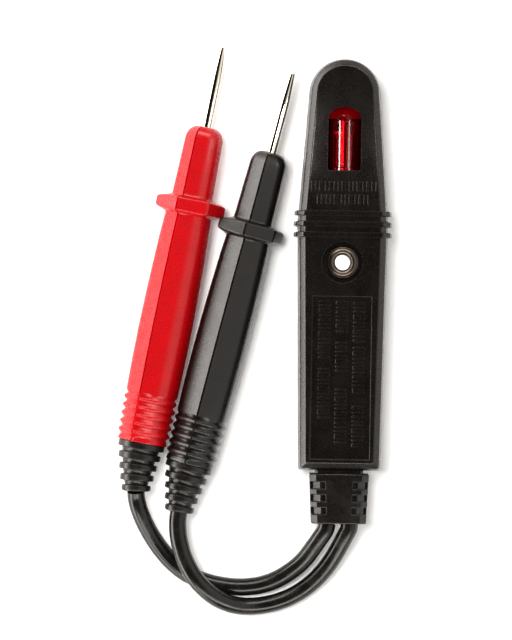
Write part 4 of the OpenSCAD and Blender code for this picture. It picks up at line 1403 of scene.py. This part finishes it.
def boot_section():
    """The boot's section, as (radius, distance behind the handle) points round its wall."""
    bore = LEAD_RADIUS + LEAD_CLEARANCE
    plug_r = PLUG_R - PLUG_CLEARANCE
    made = [(bore, -PLUG_LENGTH + PLUG_SHORT), (plug_r, -PLUG_LENGTH + PLUG_SHORT), (plug_r, 0)]
    for i in range(BOOT_RINGS):
        r = (BOOT_D0 + (BOOT_D1 - BOOT_D0) * i / (BOOT_RINGS - 1)) / 2
        start = i * BOOT_PITCH
        end = start + BOOT_RING_LENGTH
        soft = BOOT_SOFT if i < BOOT_RINGS - 1 else BOOT_SOFT * 2
        made += [(r - BOOT_SOFT, start), (r - 0.06, start + 0.06), (r, start + BOOT_SOFT), (r, end - soft),
                 (r - soft * 0.28, end - soft * 0.28), (r - soft, end)]
        if i < BOOT_RINGS - 1:
            core = r - BOOT_GROOVE
            made += [(core + 0.12, end), (core, end + 0.14), (core - 0.08, end + 0.5),
                     (core - 0.18, start + BOOT_PITCH - 0.12), (core - 0.1, start + BOOT_PITCH)]
    made += [(bore + 0.25, BOOT_LENGTH), (bore, BOOT_LENGTH - 0.2)]
    return made


def boot(colour, probe):
    """One boot, turned straight, bent and put behind its handle."""
    bm = spin_profile([(r, -s) for r, s in boot_section()], True, 56)
    bmesh.ops.transform(bm, matrix=ALONG_Y, verts=bm.verts)
    for point in bm.verts:
        point.co = boot_bend(point.co, probe["bend"])
    bmesh.ops.transform(bm, matrix=probe["seat"], verts=bm.verts)
    finish_piece(bm, colour + "_rubber_boot", boot_rubber, [colour + "_boot"], 40)


for colour, probe in PROBES.items():
    boot(colour, probe)

# %% [markdown]
# ## What stays as the frame has it
#
# The electrodes, wires, resistors, crimps, copper and the leads' ends inside the mouldings
# already have their true shape, so they only need their finish. A node of the frame is never
# moved: its material is replaced where it is.

# %% Finishes of the inner pieces
INNER_FINISHES = {
    "electrode": electrode_nickel, "lamp_wire": wire_metal, "splice_wire": wire_metal,
    "resistor": resistor_body, "crimp": crimp_metal, "conductor": copper, "jacket": lead_rubber,
}
dressed = 0
for node_name, node_object in frame["nodes"].items():
    for ending, material in INNER_FINISHES.items():
        if node_name.endswith(ending):
            node_object.data.materials.clear()
            node_object.data.materials.append(material)
            dressed += 1
print("inner pieces dressed:", dressed)

# %% [markdown]
# ## The bench and the light
#
# Small black parts are hard to light: a light that a flat top can mirror turns it grey, and it is
# the edges that show the form. So the key light, nearly overhead, is kept out of reflections, as
# crossed polarising filters do in a studio, and only makes the colours and the tight shadows.
# What shines comes from elsewhere: a strong band of light low on the left, a weaker fill on the
# right, two long sheen lights at the far and near ends, and two small ones close to the window,
# whose glints lie along the lens. The sheen lights and the small ones are kept out of the diffuse
# light, so they don't pale the colours, and the air above the camera stays dark.
#
# The bench is a pale sheet, partly lit from below as a light table is, so it reads as white with
# soft shadows. Under the hollow rivet it has a painted pool of light, a brighter glow that makes the
# eye read white. The picture is shown with a little more contrast than plain, as a print is.

# %% The bench
GLOW = 0.15
# A painted pool of light: the bench glows this much more just under the rivet's eye.
PAINTED_GLOW_UNDER_EYE = 1.1
GLOW_FADE = 1.3
PAPER_SCALE = 40
BENCH_ROUGHNESS = 0.9
BENCH_SHINE = 0.1
BENCH_HALF = 2.0

bench_material, tree, shader = new_material("pale_bench")
where = on_object(tree)
paper = noise(tree, where, PAPER_SCALE, 3)
tree.links.new(blend_colour(tree, paper, (0.91, 0.91, 0.91), (0.89, 0.89, 0.89)), shader.inputs["Base Color"])
flat_place = add(tree, "VectorMath", {0: where, 1: (1, 1, 0)}, operation="MULTIPLY").outputs["Vector"]
from_eye = add(tree, "VectorMath", {0: flat_place}, operation="LENGTH").outputs["Value"]
shader.inputs["Emission Color"].default_value = (1, 1, 1, 1)
# The emission is a painted bright spot under the eye that fades out to the even glow.
tree.links.new(span(tree, from_eye, EYE_R * MM, GLOW_FADE * EYE_R * MM, PAINTED_GLOW_UNDER_EYE, GLOW),
               shader.inputs["Emission Strength"])
shader.inputs["Roughness"].default_value = BENCH_ROUGHNESS
shader.inputs["Specular IOR Level"].default_value = BENCH_SHINE
bench_mesh = bpy.data.meshes.new("bench")
bm = bmesh.new()
bmesh.ops.create_grid(bm, x_segments=2, y_segments=2, size=BENCH_HALF)
bmesh.ops.translate(bm, vec=(0, 0, cad_box[0].z), verts=bm.verts)
bm.to_mesh(bench_mesh)
bm.free()
bench_mesh.materials.append(bench_material)
bench = bpy.data.objects.new("bench", bench_mesh)
bpy.context.scene.collection.objects.link(bench)
print("bench at", round(cad_box[0].z / MM, 2), "mm")

# %% The lights
LIGHT_COLOUR = (1.0, 0.975, 0.94)
KEY_POWER = 8.5
SHEEN_POWER = 7.5
SHEEN_SIZE = (1.2, 0.35)
GLINT_POWERS = ((-1, 0.0026), (1, 0.0009))
GLINT_AT = (0.0115, 0.0215)
GLINT_SIZE = (0.013, 0.0035)


def soft_light(name, place, size, power, sideways=(0, 1, 0), aimed_at=None):
    """A rectangular soft light that faces a place, or else the tester's middle.

    Its first side points sideways. Places and sizes are in metres, and the power is in watts.
    """
    data = bpy.data.lights.new(name, "AREA")
    data.shape = "RECTANGLE"
    data.size, data.size_y = size
    data.energy = power
    data.color = LIGHT_COLOUR
    light = bpy.data.objects.new(name, data)
    light.location = Vector(place)
    middle = aimed_at or Vector((VIEW_CENTRE[0] * MM, VIEW_CENTRE[1] * MM, 0))
    aim = (middle - light.location).normalized()
    sideways = Vector(sideways)
    upright = sideways.cross(aim).normalized()
    light.rotation_euler = Matrix((sideways, upright, -aim)).transposed().to_euler()
    bpy.context.scene.collection.objects.link(light)
    return light


key = soft_light("key_light", (-0.21, 0.11, 0.97), (0.30, 0.30), KEY_POWER)
key.visible_glossy = False
sheens = [soft_light("far_sheen", (0, 0.75, 0.72), SHEEN_SIZE, SHEEN_POWER, (1, 0, 0)),
          soft_light("near_sheen", (0, -0.80, 0.66), SHEEN_SIZE, SHEEN_POWER, (1, 0, 0))]
window_middle = Vector((0, 0.0265, 0))
for side, power in GLINT_POWERS:
    place = (GLINT_AT[0] * side, window_middle.y, GLINT_AT[1])
    glint = soft_light("window_glint", place, GLINT_SIZE, power, aimed_at=window_middle)
    glint.visible_camera = False
    sheens.append(glint)
for light in sheens:
    light.visible_diffuse = False

# %% The light all round
EDGE_STRENGTH = 8.0
EDGE_FADE = 1.5

world = bpy.data.worlds.new("studio")
world.use_nodes = True
tree = world.node_tree
direction = add(tree, "TexCoord", {}).outputs["Generated"]
parts = add(tree, "SeparateXYZ", {"Vector": direction})
fill = span(tree, parts.outputs["X"], 0.14, 0.55, 0.01, 1.0)
low = span(tree, parts.outputs["Z"], 0.22, 0.48, 1.0, 0.0)
leftward = calculate(tree, "POWER", span(tree, parts.outputs["X"], 0.0, -0.8, 0.0, 1.0), EDGE_FADE)
edge_light = calculate(tree, "MULTIPLY", calculate(tree, "MULTIPLY", low, leftward), EDGE_STRENGTH)
background = tree.nodes["Background"]
tree.links.new(calculate(tree, "ADD", fill, edge_light), background.inputs["Strength"])
background.inputs["Color"].default_value = (*LIGHT_COLOUR, 1)
bpy.context.scene.world = world
bpy.context.scene.view_settings.view_transform = "Standard"
bpy.context.scene.view_settings.look = "Medium High Contrast"
